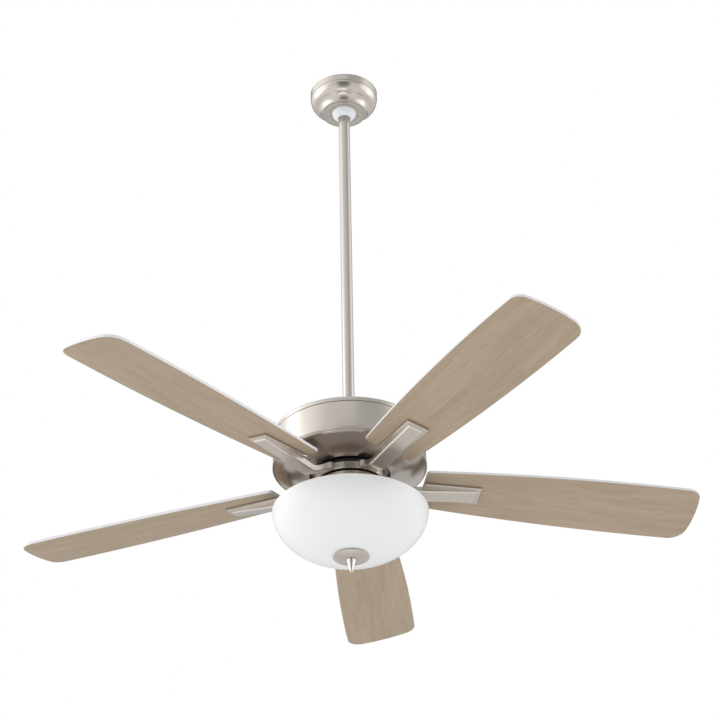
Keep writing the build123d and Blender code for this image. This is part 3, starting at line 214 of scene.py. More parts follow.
class FanLightSizes(bpy.types.PropertyGroup):
    """Sizes of the bowl and its finial."""
    bowl_wall: length("Bowl wall", "Thickness of the glass", 4.0)
    bowl_hole: length("Bowl hole", "Radius of the hole for the stem", 7.0)
    bowl_depth: length("Bowl depth", "Depth of the ellipse that the bowl is turned from", 107.0)
    bowl_rim: length("Bowl rim", "Rounding of the bowl's rim", 1.5)
    stem_bore: length("Stem bore", "Radius of the thread in the cap and the knob", 4.83)
    cap_lip: length("Cap lip", "Height of the cap's rolled rim", 1.5)
    cap_land: length("Cap land", "Radius of the flat that the knob presses on", 10.4)
    cap_belly: length("Cap belly", "How far the cap's underside bows out", 1.7)
    knob_collar: length("Knob collar", "Height of the knob's straight collar", 2.4)
    knob_tip: length("Knob tip", "Radius of the knob's point", 3.8)
    knob_ball: length("Knob ball", "Height of the knob's point", 2.8)
    knob_hollow: length("Knob hollow", "How far the knob's taper bows in", 0.7)


class FanFinishes(bpy.types.PropertyGroup):
    """Colours of the finishes."""
    nickel: colour("Nickel", "Plated metal", (0.56, 0.52, 0.475))
    nickel_gloss: share("Nickel roughness", "Roughness of the brushed plating", 0.22)
    oak_light: colour("Light oak", "Pale bands of the wood", (0.432, 0.341, 0.247))
    oak_dark: colour("Dark oak", "Darker bands of the wood", (0.332, 0.256, 0.180))
    oak_fibre: colour("Oak fibre", "Pores and fibres", (0.140, 0.103, 0.074))
    # The edge colour is a painted highlight: pale grey standing in for light glancing off the blades' edges.
    edge: colour("Edge highlight", "Painted highlight on the blade's edges", (0.74, 0.74, 0.75))
    opal: colour("Opal glass", "Etched white glass", (0.80, 0.80, 0.80))
    plastic: colour("White plastic", "Hanger ball and sockets", (0.80, 0.82, 0.85))


class FanStageSizes(bpy.types.PropertyGroup):
    """The floor, the lights and the camera."""
    floor_drop: length("Floor drop", "Distance of the floor under the ceiling", 4300.0)
    floor_half: length("Floor half size", "Half the side of the floor", 30000.0)
    lens: bpy.props.FloatProperty(name="Lens", description="Focal length in millimetres", default=119.3)
    distance: length("Distance", "Distance of the camera from the fan's axis, along the floor", 4389.0)
    drop: length("Drop", "Distance of the camera under the ceiling", 3497.0)
    aim_drop: length("Aim drop", "Drop of the point that the camera looks at", 733.4)
    aim_side: length("Aim side", "Sideways place of the point that the camera looks at", 26.0)
    roll: angle("Roll", "Turn of the camera about its own line", 1.1)


def sizes(name):
    """One of the scene's property groups."""
    return getattr(bpy.context.scene, name)


# ---------------------------------------------------------------- outlines
def arc_points(start, end, bulge, steps):
    """Points on an arc from start to end that bows by bulge to the left of the way; start is left out."""
    start, end = Vector(start), Vector(end)
    chord = end - start
    normal = Vector((-chord.y, chord.x)).normalized()
    if abs(bulge) < 1e-7:
        return [tuple(end)]
    radius = (chord.length ** 2 / 4 + bulge ** 2) / (2 * bulge)
    centre = (start + end) / 2 + normal * (bulge - radius)
    first = atan2(start.y - centre.y, start.x - centre.x)
    last = atan2(end.y - centre.y, end.x - centre.x)
    sweep = (last - first + pi) % (2 * pi) - pi
    points = []
    radius = abs(radius)
    for step in range(1, steps + 1):
        turn = first + sweep * step / steps
        points.append((centre.x + radius * cos(turn), centre.y + radius * sin(turn)))
    return points


def rounded(corners):
    """A closed outline: each corner is (x, y) or (x, y, radius), and fillets leave room for each other."""
    nearly_straight = radians(0.5)
    shared_side, own_side = 0.49, 0.98
    outline = []
    for index, corner in enumerate(corners):
        here = Vector(corner[:2])
        neighbours = corners[index - 1], corners[(index + 1) % len(corners)]
        back, ahead = (Vector(near[:2]) - here for near in neighbours)
        radius = corner[2] if len(corner) > 2 else 0.0
        half = back.angle(ahead) / 2 if radius > 0 else pi / 2
        if abs(half - pi / 2) < nearly_straight:
            outline.append(tuple(here))
            continue
        room = [side.length * (shared_side if len(near) > 2 else own_side)
                for side, near in zip((back, ahead), neighbours)]
        cut = min(radius / tan(half), *room)
        radius = cut * tan(half)
        centre = here + (back.normalized() + ahead.normalized()).normalized() * radius / sin(half)
        start = here + back.normalized() * cut
        first = atan2(start.y - centre.y, start.x - centre.x)
        side = back.x * ahead.y - back.y * ahead.x
        sweep = (pi - 2 * half) * (1 if side < 0 else -1)
        steps = max(2, ceil(abs(sweep) / ARC_STEP))
        for step in range(steps + 1):
            turn = first + sweep * step / steps
            outline.append((centre.x + radius * cos(turn), centre.y + radius * sin(turn)))
    return outline


def smooth(value):
    """An S-shaped rise from 0 to 1."""
    value = min(max(value, 0.0), 1.0)
    return value * value * (3 - 2 * value)


# ---------------------------------------------------------------- meshes and pieces
def crisp(mesh):
    """Shade a mesh smooth and keep its sharp edges crisp."""
    mesh.shade_smooth()
    mesh.set_sharp_from_angle(angle=SHARP)


def outward(mesh):
    """Merge doubles, turn the faces outwards, shade smooth and keep sharp edges crisp."""
    edit = bmesh.new()
    edit.from_mesh(mesh)
    bmesh.ops.remove_doubles(edit, verts=edit.verts, dist=1e-6)
    bmesh.ops.recalc_face_normals(edit, faces=edit.faces)
    edit.to_mesh(mesh)
    edit.free()
    crisp(mesh)


def mesh_of(name, points, faces):
    """A mesh from points and faces."""
    mesh = bpy.data.meshes.new(name)
    mesh.from_pydata([tuple(point) for point in points], [], faces)
    mesh.validate()
    outward(mesh)
    return mesh


def turned(name, outline, steps=TURN_STEPS, first=0.0, sweep=360.0):
    """Turn a closed outline of (radius, level) about the fan's axis, all round or as a sector."""
    whole = sweep >= 360.0
    columns = steps if whole else steps + 1
    count = len(outline)
    points, faces = [], []
    for column in range(columns):
        turn = radians(first + sweep * column / steps)
        points += [(radius * cos(turn), radius * sin(turn), level) for radius, level in outline]
    for column in range(steps):
        here = column * count
        there = ((column + 1) % columns) * count
        for row in range(count):
            after = (row + 1) % count
            faces.append((here + row, there + row, there + after, here + after))
    if not whole:
        faces += [tuple(range(count)), tuple(range((columns - 1) * count, columns * count))]
    return mesh_of(name, points, faces)


def lofted(name, sections):
    """Skin closed sections of the same number of points, and close both ends."""
    count = len(sections[0])
    points = [point for section in sections for point in section]
    faces = []
    for row in range(len(sections) - 1):
        for column in range(count):
            after = (column + 1) % count
            faces.append((row * count + column, row * count + after,
                          (row + 1) * count + after, (row + 1) * count + column))
    last = (len(sections) - 1) * count
    faces += [tuple(range(count)), tuple(range(last, last + count))]
    return mesh_of(name, points, faces)


def slab(name, outline, low, high, round_over):
    """A flat plate from an outline, with rounded edges; its edge faces take the second material."""
    edge_steps = 4
    flat = 0.9      # faces whose normal is steeper than this are the plate's two sides
    count = len(outline)
    middle = sum((Vector(point) for point in outline), Vector((0, 0))) / count
    turns = [pi / 2 * step / (edge_steps - 1) for step in range(edge_steps)]
    edge = [(round_over * (1 - sin(turn)), round_over * (1 - cos(turn))) for turn in turns]
    rings = [(inset, low + rise) for inset, rise in edge]
    rings += [(inset, high - rise) for inset, rise in reversed(edge)]
    sections = []
    for inset, level in rings:
        section = []
        for index, point in enumerate(outline):
            along = (Vector(outline[(index + 1) % count]) - Vector(outline[index - 1])).normalized()
            normal = Vector((along.y, -along.x))
            if normal.dot(Vector(point) - middle) < 0:
                normal = -normal
            spot = Vector(point) - normal * inset
            section.append((spot.x, spot.y, level))
        sections.append(section)
    mesh = lofted(name, sections)
    for face in mesh.polygons:
        face.material_index = 0 if abs(face.normal.z) > flat else 1
    return mesh


def joined(name, meshes):
    """One mesh from several, each closed by itself."""
    edit = bmesh.new()
    for mesh in meshes:
        edit.from_mesh(mesh)
        bpy.data.meshes.remove(mesh)
    whole = bpy.data.meshes.new(name)
    edit.to_mesh(whole)
    edit.free()
    crisp(whole)
    return whole


def linked(name, data):
    """A new object in the scene."""
    thing = bpy.data.objects.new(name, data)
    bpy.context.scene.collection.objects.link(thing)
    return thing


def evaluated(host):
    """The plain mesh that an object's modifiers give; the object is removed."""
    graph = bpy.context.evaluated_depsgraph_get()
    mesh = bpy.data.meshes.new_from_object(host.evaluated_get(graph), depsgraph=graph)
    bpy.data.objects.remove(host)
    return mesh


def place(name, mesh, body, materials, node):
    """Put a finished mesh in the scene: it rides on a body and stands for a node."""
    mesh.name = name
    if mesh.materials:      # clearing an empty list would still forget each face's material
        mesh.materials.clear()
    for material in materials:
        mesh.materials.append(material)
    piece = linked(name, mesh)
    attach(piece, body)
    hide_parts(node)


def carried(finish, *nodes, slot=None):
    """Clean, smooth copies of nodes' meshes with a finish, in the nodes' places."""
    for node in nodes:
        source = frame["nodes"][node]
        mesh = source.data.copy()
        edit = bmesh.new()
        edit.from_mesh(mesh)
        bmesh.ops.remove_doubles(edit, verts=edit.verts, dist=2e-6)
        edit.to_mesh(mesh)
        edit.free()
        if "custom_normal" in mesh.attributes:
            mesh.attributes.remove(mesh.attributes["custom_normal"])
        crisp(mesh)
        place(f"{node}_finished", mesh, source["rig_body"], [finish()], node)


# ---------------------------------------------------------------- geometry nodes
class Tree:
    """A small helper that adds nodes to a tree and links them."""

    def __init__(self, tree):
        self.tree = tree

    def add(self, kind, settings=(), **inputs):
        """Add a node; settings are its own fields, inputs are values or sockets by index or name."""
        node = self.tree.nodes.new(kind)
        for key, value in dict(settings).items():
            setattr(node, key, value)
        for key, value in inputs.items():
            self.feed(node, int(key[1:]) if key[0] == "_" else key, value)
        return node

    def feed(self, node, key, value):
        """Set an input's value, or link a socket to it."""
        socket = node.inputs[key]
        if isinstance(value, bpy.types.NodeSocket):
            self.tree.links.new(value, socket)
        else:
            socket.default_value = value

    def math(self, operation, first, second=0.0, third=None):
        """A Math node's result."""
        node = self.add("ShaderNodeMath", {"operation": operation}, _0=first, _1=second)
        if third is not None:
            self.feed(node, 2, third)
        return node.outputs[0]


def new_tree(name, kind, inputs, outputs):
    """A node group with named sockets; gives its helper, its input and its output."""
    tree = bpy.data.node_groups.new(name, kind)
    for label, socket_type, *default in inputs:
        socket = tree.interface.new_socket(label, in_out="INPUT", socket_type=f"NodeSocket{socket_type}")
        if default:
            socket.default_value = default[0]
    for label, socket_type in outputs:
        tree.interface.new_socket(label, in_out="OUTPUT", socket_type=f"NodeSocket{socket_type}")
    helper = Tree(tree)
    return helper, helper.add("NodeGroupInput"), helper.add("NodeGroupOutput")


def geometry_tree(name, inputs):
    """A geometry tree with named inputs."""
    return new_tree(name, "GeometryNodeTree", [("Geometry", "Geometry"), *inputs], [("Geometry", "Geometry")])


def finish_tree(helper, geometry, start, end):
    """End a tree in Realize Instances and Set Material."""
    real = helper.add("GeometryNodeRealizeInstances", Geometry=geometry)
    painted = helper.add("GeometryNodeSetMaterial", Geometry=real.outputs[0],
                         Material=start.outputs["Material"])
    helper.feed(end, "Geometry", painted.outputs[0])
    return helper.tree


def built_once(library, name):
    """Wrap a function that builds a group or a material, so that a second call finds the first one's."""
    def wrap(build):
        def found():
            kept = getattr(bpy.data, library)
            return kept[name] if name in kept else build(name)
        found.__name__ = build.__name__
        found.__doc__ = build.__doc__
        return found
    return wrap


@built_once("node_groups", "Repeat round the axis")
def round_repeat_tree(name):
    """Copies of a small part round the fan's axis, each tilted about its own X first."""
    helper, start, end = geometry_tree(name, [
        ("Count", "Int"), ("First Angle", "Float"), ("Tilt", "Float"), ("Lift", "Float"),
        ("Material", "Material")])
    tilt = helper.add("ShaderNodeCombineXYZ", X=start.outputs["Tilt"])
    lift = helper.add("ShaderNodeCombineXYZ", Z=start.outputs["Lift"])
    part = helper.add("GeometryNodeTransform", Geometry=start.outputs["Geometry"],
                      Translation=lift.outputs[0], Rotation=tilt.outputs[0])
    spots = helper.add("GeometryNodePoints", Count=start.outputs["Count"])
    number = helper.add("GeometryNodeInputIndex").outputs[0]
    step = helper.math("DIVIDE", 2 * pi, start.outputs["Count"])
    turn = helper.math("MULTIPLY_ADD", number, step, start.outputs["First Angle"])
    rotation = helper.add("ShaderNodeCombineXYZ", Z=turn)
    copies = helper.add("GeometryNodeInstanceOnPoints", Points=spots.outputs[0], Instance=part.outputs[0],
                        Rotation=rotation.outputs[0])
    return finish_tree(helper, copies.outputs[0], start, end)


@built_once("node_groups", "Turned glass bowl")
def bowl_tree(name):
    """The outside of a glass bowl: a quarter ellipse turned about the axis, flat at its foot."""
    helper, start, end = geometry_tree(name, [
        ("Radius", "Float"), ("Depth", "Float"), ("Rim Level", "Float"), ("Foot Level", "Float"),
        ("Hole", "Float"), ("Rings", "Int"), ("Segments", "Int"), ("Material", "Material")])
    size = start.outputs
    grid = helper.add("GeometryNodeMeshGrid")
    helper.feed(grid, "Vertices X", size["Rings"])
    helper.feed(grid, "Vertices Y", size["Segments"])
    spot = helper.add("ShaderNodeSeparateXYZ", _0=helper.add("GeometryNodeInputPosition").outputs[0])
    down = helper.math("ADD", spot.outputs["X"], 0.5)       # the grid runs from -0.5 to 0.5
    turn = helper.math("MULTIPLY", helper.math("ADD", spot.outputs["Y"], 0.5), 2 * pi)
    narrow = helper.math("DIVIDE", size["Hole"], size["Radius"])
    slope = helper.math("MULTIPLY", down, helper.math("ARCCOSINE", narrow))
    radius = helper.math("MULTIPLY", size["Radius"], helper.math("COSINE", slope))
    sink = helper.math("MULTIPLY", size["Depth"], helper.math("SINE", slope))
    level = helper.math("MAXIMUM", helper.math("SUBTRACT", size["Rim Level"], sink), size["Foot Level"])
    across = helper.math("MULTIPLY", radius, helper.math("COSINE", turn))
    deep = helper.math("MULTIPLY", radius, helper.math("SINE", turn))
    spun = helper.add("ShaderNodeCombineXYZ", X=across, Y=deep, Z=level)
    shape = helper.add("GeometryNodeSetPosition", Geometry=grid.outputs["Mesh"], Position=spun.outputs[0])
    closed = helper.add("GeometryNodeMergeByDistance", Geometry=shape.outputs[0], Distance=1e-5)
    return finish_tree(helper, closed.outputs[0], start, end)


def grown(mesh, tree, values):
    """Run a geometry tree on a mesh and give the result as a plain mesh."""
    host = linked("growing", mesh)
    modifier = host.modifiers.new("grow", "NODES")
    modifier.node_group = tree
    for item in tree.interface.items_tree:
        if item.in_out == "INPUT" and item.name in values:
            modifier[item.identifier] = values[item.name]
    return evaluated(host)


def round_copies(mesh, material, count, first=0.0, tilt=0.0, lift=0.0):
    """A part's copies round the axis, as one plain mesh."""
    mesh = grown(mesh, round_repeat_tree(), {
        "Count": count, "First Angle": first, "Tilt": tilt, "Lift": lift, "Material": material})
    outward(mesh)
    return mesh


# ---------------------------------------------------------------- shader node groups
def noise(helper, vector, scale, detail=3.0, rough=0.55, distortion=0.0):
    """A noise texture's value."""
    node = helper.add("ShaderNodeTexNoise", Vector=vector, Scale=scale, Detail=detail, Roughness=rough,
                      Distortion=distortion)
    return node.outputs[0]


def spread(helper, value, low, high, to_low=0.0, to_high=1.0):
    """A value mapped from one range to another and clamped."""
    node = helper.add("ShaderNodeMapRange", Value=value)
    for key, number in (("From Min", low), ("From Max", high), ("To Min", to_low), ("To Max", to_high)):
        helper.feed(node, key, number)
    return node.outputs[0]


def stretched(helper, vector, factors):
    """Coordinates multiplied by three factors."""
    return helper.add("ShaderNodeVectorMath", {"operation": "MULTIPLY"}, _0=vector, _1=factors).outputs[0]


def blended(helper, factor, first, second):
    """A colour between two colours."""
    node = helper.add("ShaderNodeMix", {"data_type": "RGBA"}, Factor=factor)
    helper.feed(node, 6, first)
    helper.feed(node, 7, second)
    return node.outputs[2]


def weighted(helper, *pairs):
    """The sum of values, each times its weight."""
    total = helper.math("MULTIPLY", *pairs[0])
    for value, weight in pairs[1:]:
        total = helper.math("MULTIPLY_ADD", value, weight, total)
    return total


def brushing_group(name, stretch, *inputs):
    """Fine lines with slow clouds; stretch is a function that gives the lines' coordinates."""
    helper, start, end = new_tree(name, "ShaderNodeTree", [
        ("Vector", "Vector"), *inputs, ("Lines", "Float", 900.0), ("Clouds", "Float", 14.0)],
        [("Lines", "Float"), ("Clouds", "Float")])
    drawn = stretch(helper, start)
    helper.feed(end, "Lines", noise(helper, drawn, start.outputs["Lines"], 4.0, 0.7))
    helper.feed(end, "Clouds", noise(helper, start.outputs["Vector"], start.outputs["Clouds"], 3.0))
    return helper.tree


@built_once("node_groups", "Turned brushing")
def turned_brushing_group(name):
    """Lines round the fan's axis, as a lathe leaves them."""
    def stretch(helper, start):
        spot = helper.add("ShaderNodeSeparateXYZ", _0=start.outputs["Vector"])
        squares = helper.math("ADD", helper.math("POWER", spot.outputs["X"], 2.0),
                              helper.math("POWER", spot.outputs["Y"], 2.0))
        turn = helper.math("ARCTAN2", spot.outputs["Y"], spot.outputs["X"])
        lathe = helper.add("ShaderNodeCombineXYZ", X=helper.math("SQRT", squares),
                           Y=helper.math("MULTIPLY", turn, 0.004), Z=spot.outputs["Z"])
        return lathe.outputs[0]
    return brushing_group(name, stretch)


@built_once("node_groups", "Straight brushing")
def straight_brushing_group(name):
    """Lines along one direction, the one that Stretch makes short."""
    def stretch(helper, start):
        return stretched(helper, start.outputs["Vector"], start.outputs["Stretch"])
    return brushing_group(name, stretch, ("Stretch", "Vector", (0.02, 1.0, 1.0)))


@built_once("node_groups", "Fine grain")
def fine_grain_group(name):
    """Fine grain of a moulded, cast or coated surface, and its blend with slow clouds."""
    helper, start, end = new_tree(name, "ShaderNodeTree", [
        ("Vector", "Vector"), ("Grain", "Float", 700.0), ("Clouds", "Float", 18.0)],
        [("Grain", "Float"), ("Blend", "Float")])
    fine = noise(helper, start.outputs["Vector"], start.outputs["Grain"], 3.0, 0.6)
    clouds = noise(helper, start.outputs["Vector"], start.outputs["Clouds"], 2.0)
    helper.feed(end, "Grain", fine)
    helper.feed(end, "Blend", weighted(helper, (fine, 0.5), (clouds, 0.5)))
    return helper.tree


@built_once("node_groups", "Oak grain")
def oak_grain_group(name):
    """Weathered oak: slow bands, streaks and fine pores along X."""
    helper, start, end = new_tree(name, "ShaderNodeTree", [
        ("Vector", "Vector"), ("Light", "Color"), ("Dark", "Color"), ("Fibre", "Color")],
        [("Color", "Color"), ("Height", "Float"), ("Roughness", "Float")])

    def layer(stretch, scale, detail, low, high, rough=0.55, distortion=0.0):
        """Noise drawn out along the grain, with the values from low to high spread to 0 and 1."""
        drawn = stretched(helper, start.outputs["Vector"], (stretch, 1.0, 0.4))
        return spread(helper, noise(helper, drawn, scale, detail, rough, distortion), low, high)

    bands = layer(0.12, 24.0, 5.0, 0.34, 0.66, rough=0.58, distortion=1.6)
    streaks = layer(0.05, 150.0, 6.0, 0.36, 0.66, rough=0.68, distortion=0.35)
    pores = layer(0.06, 560.0, 4.0, 0.54, 0.70, rough=0.65)
    ticks = layer(0.09, 230.0, 2.0, 0.66, 0.78, rough=0.5)
    clouds = layer(0.5, 7.0, 2.0, 0.35, 0.65)
    tone = weighted(helper, (bands, 0.5), (streaks, 0.32), (clouds, 0.18))
    wood = blended(helper, tone, start.outputs["Light"], start.outputs["Dark"])
    marks = helper.math("MAXIMUM", helper.math("MULTIPLY", pores, 0.34), helper.math("MULTIPLY", ticks, 0.42))
    helper.feed(end, "Color", blended(helper, marks, wood, start.outputs["Fibre"]))
    helper.feed(end, "Height", helper.math("SUBTRACT", helper.math("MULTIPLY", streaks, 0.3), marks))
    helper.feed(end, "Roughness", spread(helper, streaks, 0.0, 1.0, 0.50, 0.64))
    return helper.tree


# ---------------------------------------------------------------- finishes
def new_finish(name, settings):
    """A material whose shader has its plain values set; gives material, helper, shader and coordinates."""
    material = bpy.data.materials.new(name)
    material.use_nodes = True
    material.node_tree.nodes.clear()
    helper = Tree(material.node_tree)
    shader = helper.add("ShaderNodeBsdfPrincipled")
    for key, value in settings.items():
        shader.inputs[key].default_value = value
    output = helper.add("ShaderNodeOutputMaterial", Surface=shader.outputs[0])
    output.is_active_output = True
    spot = helper.add("ShaderNodeTexCoord").outputs["Object"]
    return material, helper, shader, spot


def use_group(helper, tree, **inputs):
    """Place a node group in a material."""
    return helper.add("ShaderNodeGroup", {"node_tree": tree}, **inputs)


def bump(helper, shader, height, strength, distance):
    """Feed a height to the shader's normal."""
    node = helper.add("ShaderNodeBump", Height=height, Strength=strength, Distance=distance)
    helper.feed(shader, "Normal", node.outputs[0])


def tinted(helper, shader, mask, dark, light):
    """Colour the shader between two colours by a mask."""
    helper.feed(shader, "Base Color", blended(helper, mask, (*dark, 1.0), (*light, 1.0)))


def scaled(base, factor):
    """A colour made lighter or darker."""
    return tuple(min(channel * factor, 1.0) for channel in base)


def brushed_metal(name, base, roughness, turn=None, stretch=(0.02, 1.0, 1.0), contrast=0.04, lines=900.0,
                  relief=0.00004):
    """Plated metal, brushed round the axis or, where a turn is given, along that direction."""
    if name in bpy.data.materials:
        return bpy.data.materials[name]
    material, helper, shader, spot = new_finish(name, {"Metallic": 1.0, "Specular IOR Level": 0.5})
    if turn is None:
        group = use_group(helper, turned_brushing_group(), Vector=spot, Lines=lines)
    else:
        mapping = helper.add("ShaderNodeMapping", Vector=spot, Rotation=(0.0, 0.0, turn))
        group = use_group(helper, straight_brushing_group(), Vector=mapping.outputs[0], Stretch=stretch,
                          Lines=lines)
    drawn, clouds = group.outputs["Lines"], group.outputs["Clouds"]
    tinted(helper, shader, spread(helper, drawn, 0.3, 0.7), scaled(base, 1 - contrast),
           scaled(base, 1 + contrast))
    blend = weighted(helper, (drawn, 0.6), (clouds, 0.4))
    helper.feed(shader, "Roughness", spread(helper, blend, 0.3, 0.7, roughness - 0.05, roughness + 0.07))
    bump(helper, shader, drawn, 0.16, relief)
    return material


def speckled(name, base, roughness, metallic=0.0, grain=700.0, contrast=0.06, relief=0.00006, settings=()):
    """A moulded, cast or coated finish: fine grain with slow clouds."""
    if name in bpy.data.materials:
        return bpy.data.materials[name]
    material, helper, shader, spot = new_finish(name, {"Metallic": metallic, **dict(settings)})
    group = use_group(helper, fine_grain_group(), Vector=spot, Grain=grain)
    blend = group.outputs["Blend"]
    tinted(helper, shader, spread(helper, blend, 0.35, 0.65), scaled(base, 1 - contrast),
           scaled(base, 1 + contrast))
    helper.feed(shader, "Roughness", spread(helper, blend, 0.35, 0.65, roughness - 0.04, roughness + 0.06))
    bump(helper, shader, group.outputs["Grain"], 0.2, relief)
    return material


def nickel(name, paler=1.0, rougher=0.0, **brushing):
    """Nickel plating, which may be paler or rougher than the housing's."""
    look = sizes("fan_finishes")
    return brushed_metal(name, scaled(look.nickel, paler), look.nickel_gloss + rougher, **brushing)


def satin_nickel():
    """Spun, plated and brushed round."""
    return nickel("Satin nickel, turned")


def rod_nickel():
    """Drawn tube, brushed along its length."""
    return nickel("Satin nickel, drawn", turn=0.0, stretch=(1.0, 1.0, 0.012), contrast=0.03, lines=420.0,
                  relief=0.00001)


def iron_nickel(turn):
    """Cast arm, brushed along its length; one finish for each direction."""
    return nickel(f"Satin nickel with painted light, arm {round(degrees(turn)) % 360}", 1.16, 0.12, turn=-turn,
                  stretch=(0.03, 1.0, 1.0))


def bright_nickel():
    """Polished plating with faint turning marks."""
    return brushed_metal("Polished nickel", scaled(sizes("fan_finishes").nickel, 1.25), 0.11, contrast=0.02,
                         lines=1600.0)


def cap_nickel():
    """Spun dish, brushed finer and paler than the housing."""
    return nickel("Satin nickel with painted light, cap", 1.12, 0.08, lines=1300.0)


def oak_face(turn):
    """Weathered light oak, with the grain along the blade; one finish for each direction."""
    name = f"Light oak, blade {round(degrees(turn)) % 360}"
    if name in bpy.data.materials:
        return bpy.data.materials[name]
    look = sizes("fan_finishes")
    material, helper, shader, spot = new_finish(name, {
        "Specular IOR Level": 0.35, "Coat Weight": 0.08, "Coat Roughness": 0.4})
    mapping = helper.add("ShaderNodeMapping", Vector=spot, Rotation=(0.0, 0.0, -turn),
                         Location=(turn, 0.0, 0.0))
    group = use_group(helper, oak_grain_group(), Vector=mapping.outputs[0], Light=(*look.oak_light, 1.0),
                      Dark=(*look.oak_dark, 1.0), Fibre=(*look.oak_fibre, 1.0))
    helper.feed(shader, "Base Color", group.outputs["Color"])
    helper.feed(shader, "Roughness", group.outputs["Roughness"])
    bump(helper, shader, group.outputs["Height"], 0.25, 0.00012)
    return material


def edge_band():
    """Pale band glued on the blade's edges."""
    return speckled("Painted edge highlight", sizes("fan_finishes").edge, 0.42, grain=900.0, contrast=0.03)


def opal_glass():
    """Opal white glass with an etched satin skin."""
    return speckled("Opal glass", sizes("fan_finishes").opal, 0.38, grain=1500.0, contrast=0.008,
                    relief=0.00001, settings={
                        "Specular IOR Level": 0.5, "IOR": 1.5, "Coat Weight": 0.12, "Coat Roughness": 0.25,
                        "Subsurface Weight": 0.12, "Subsurface Scale": 0.02})


def white_plastic():
    """Moulded white plastic."""
    return speckled("White plastic", sizes("fan_finishes").plastic, 0.40, contrast=0.02)


def bulb_white():
    """Frosted white diffuser."""
    return speckled("Frosted diffuser", (0.86, 0.86, 0.83), 0.5, contrast=0.015)


def black_plastic():
    """Moulded black plastic."""
    return speckled("Black plastic", (0.018, 0.018, 0.019), 0.46)


def zinc_steel():
    """Zinc-plated steel."""
    return speckled("Zinc plate", (0.50, 0.51, 0.53), 0.34, metallic=1.0, grain=320.0, contrast=0.08)


def machined_steel():
    """Ground steel."""
    return brushed_metal("Ground steel", (0.50, 0.50, 0.51), 0.24, lines=1400.0)


def dark_casting():
    """Cast iron with a black coat."""
    return speckled("Black casting", (0.030, 0.028, 0.027), 0.58, grain=420.0, contrast=0.18, relief=0.0003)


def motor_aluminium():
    """Bare die-cast aluminium."""
    return speckled("Cast aluminium", (0.52, 0.52, 0.53), 0.42, metallic=1.0, grain=380.0, contrast=0.09)


@built_once("materials", "Laminated core")
def core_steel(name):
    """Varnished laminations."""
    material, helper, shader, spot = new_finish(name, {"Metallic": 0.85})
    sheets = helper.add("ShaderNodeTexWave", {"bands_direction": "Z"}, Vector=spot, Scale=320.0,
                        Distortion=0.4).outputs["Fac"]
    tinted(helper, shader, sheets, (0.045, 0.042, 0.04), (0.17, 0.16, 0.155))
    helper.feed(shader, "Roughness", spread(helper, sheets, 0.0, 1.0, 0.38, 0.55))
    bump(helper, shader, sheets, 0.3, 0.0002)
    return material


def copper_winding():
    """Enamelled copper wire, wound round the axis."""
    return brushed_metal("Copper winding", (0.58, 0.22, 0.09), 0.34, contrast=0.35, lines=420.0)


def brass_stem():
    """Threaded brass tube."""
    return brushed_metal("Brass", (0.60, 0.43, 0.19), 0.30, lines=1200.0)


def rubber_pad():
    """Soft black washer."""
    return speckled("Rubber", (0.022, 0.022, 0.022), 0.72, grain=500.0)


# ---------------------------------------------------------------- ceiling end
def canopy_mesh():
    """A spun cup: plain band, groove, rounded shoulder, cove, flat foot and a bead round the hole."""
    size = sizes("fan_canopy")
    radius, low, high = reach("canopy")
    bead_rise = 0.7
    low += size.bead * bead_rise
    band = high - size.band
    under = band - size.groove
    shoulder = (radius - size.groove, under)
    bulge = (radius - size.bulge_inset, under - size.bulge_drop)
    foot = (bulge[0] - size.cove_width, low + size.foot_height)
    wall = size.wall
    outside = [(radius, high, HEM), (radius, band, 0.8 * MM),
               (radius - 1.9 * size.groove, band - 0.4 * size.groove), shoulder,
               *arc_points(shoulder, bulge, size.bulge, 18), *arc_points(bulge, foot, -size.cove, 10),
               (foot[0], low, 1.4 * MM)]
    bead = [(size.bead_radius + size.bead * across, low - size.bead * rise)
            for across, rise in ((1, 0), (0.5, 0.55), (0, bead_rise), (-0.5, 0.55), (-1, 0))]
    inside = arc_points((foot[0] - wall, foot[1]), (bulge[0] - wall, bulge[1] + wall / 2), size.cove, 8)
    inside += arc_points(inside[-1], (shoulder[0] - wall, under), -size.bulge, 8)
    return turned("canopy", rounded([
        *outside, *bead, (size.hole_radius, low, EDGE), (size.hole_radius, low + wall),
        (foot[0] - wall, low + wall), (foot[0] - wall, foot[1]), *inside, (radius - wall, band),
        (radius - wall, high)]))


def cover_mesh():
    """The spun cover over the yoke: a rounded neck on a flared skirt."""
    size = sizes("fan_canopy")
    foot, low, high = reach("coupling_cover")
    hole = reach("downrod")[0] + size.cover_gap
    neck = foot - size.cover_flare
    middle = (low + high) / 2
    wall = size.wall
    step = (foot - size.cover_step, low + size.cover_foot)
    return turned("coupling_cover", rounded([
        (foot, low, HEM), (foot, step[1], EDGE), step,
        *arc_points(step, (neck, middle), size.cover_sweep, 14),
        (neck, high, size.cover_lip), (hole + 1.4 * MM, high, 0.6 * MM), (hole, high - wall / 2),
        (hole, high - wall), (neck - wall, high - wall), (neck - wall, middle), (foot - 2 * wall, low)]))


def screw_mesh(radius, drop):
    """A pan head with a cross recess, its underside on z = 0 and facing down, and a stub of shank above."""
    head = SCREW_HEAD * radius
    body = turned("screw", rounded([
        (POLE, 0.0), (POLE, -drop), (0.62 * head, -drop, 0.5 * drop), (head, -0.5 * drop, 0.3 * drop),
        (head, 0.0), (radius, 0.0), (radius, drop), (POLE, drop)]), steps=24)
    half_width, arm, recess = 0.32 * radius, 1.05 * radius, 0.45 * drop
    edit = bmesh.new()
    edit.from_mesh(body)
    for face in edit.faces:
        centre = face.calc_center_median()
        near, far = sorted((abs(centre.x), abs(centre.y)))
        on_top = face.normal.z < -0.5 and centre.z < -0.8 * drop
        if on_top and near < half_width and far < arm:
            for corner in face.verts:
                corner.co.z = -recess
    edit.to_mesh(body)
    edit.free()
    return body


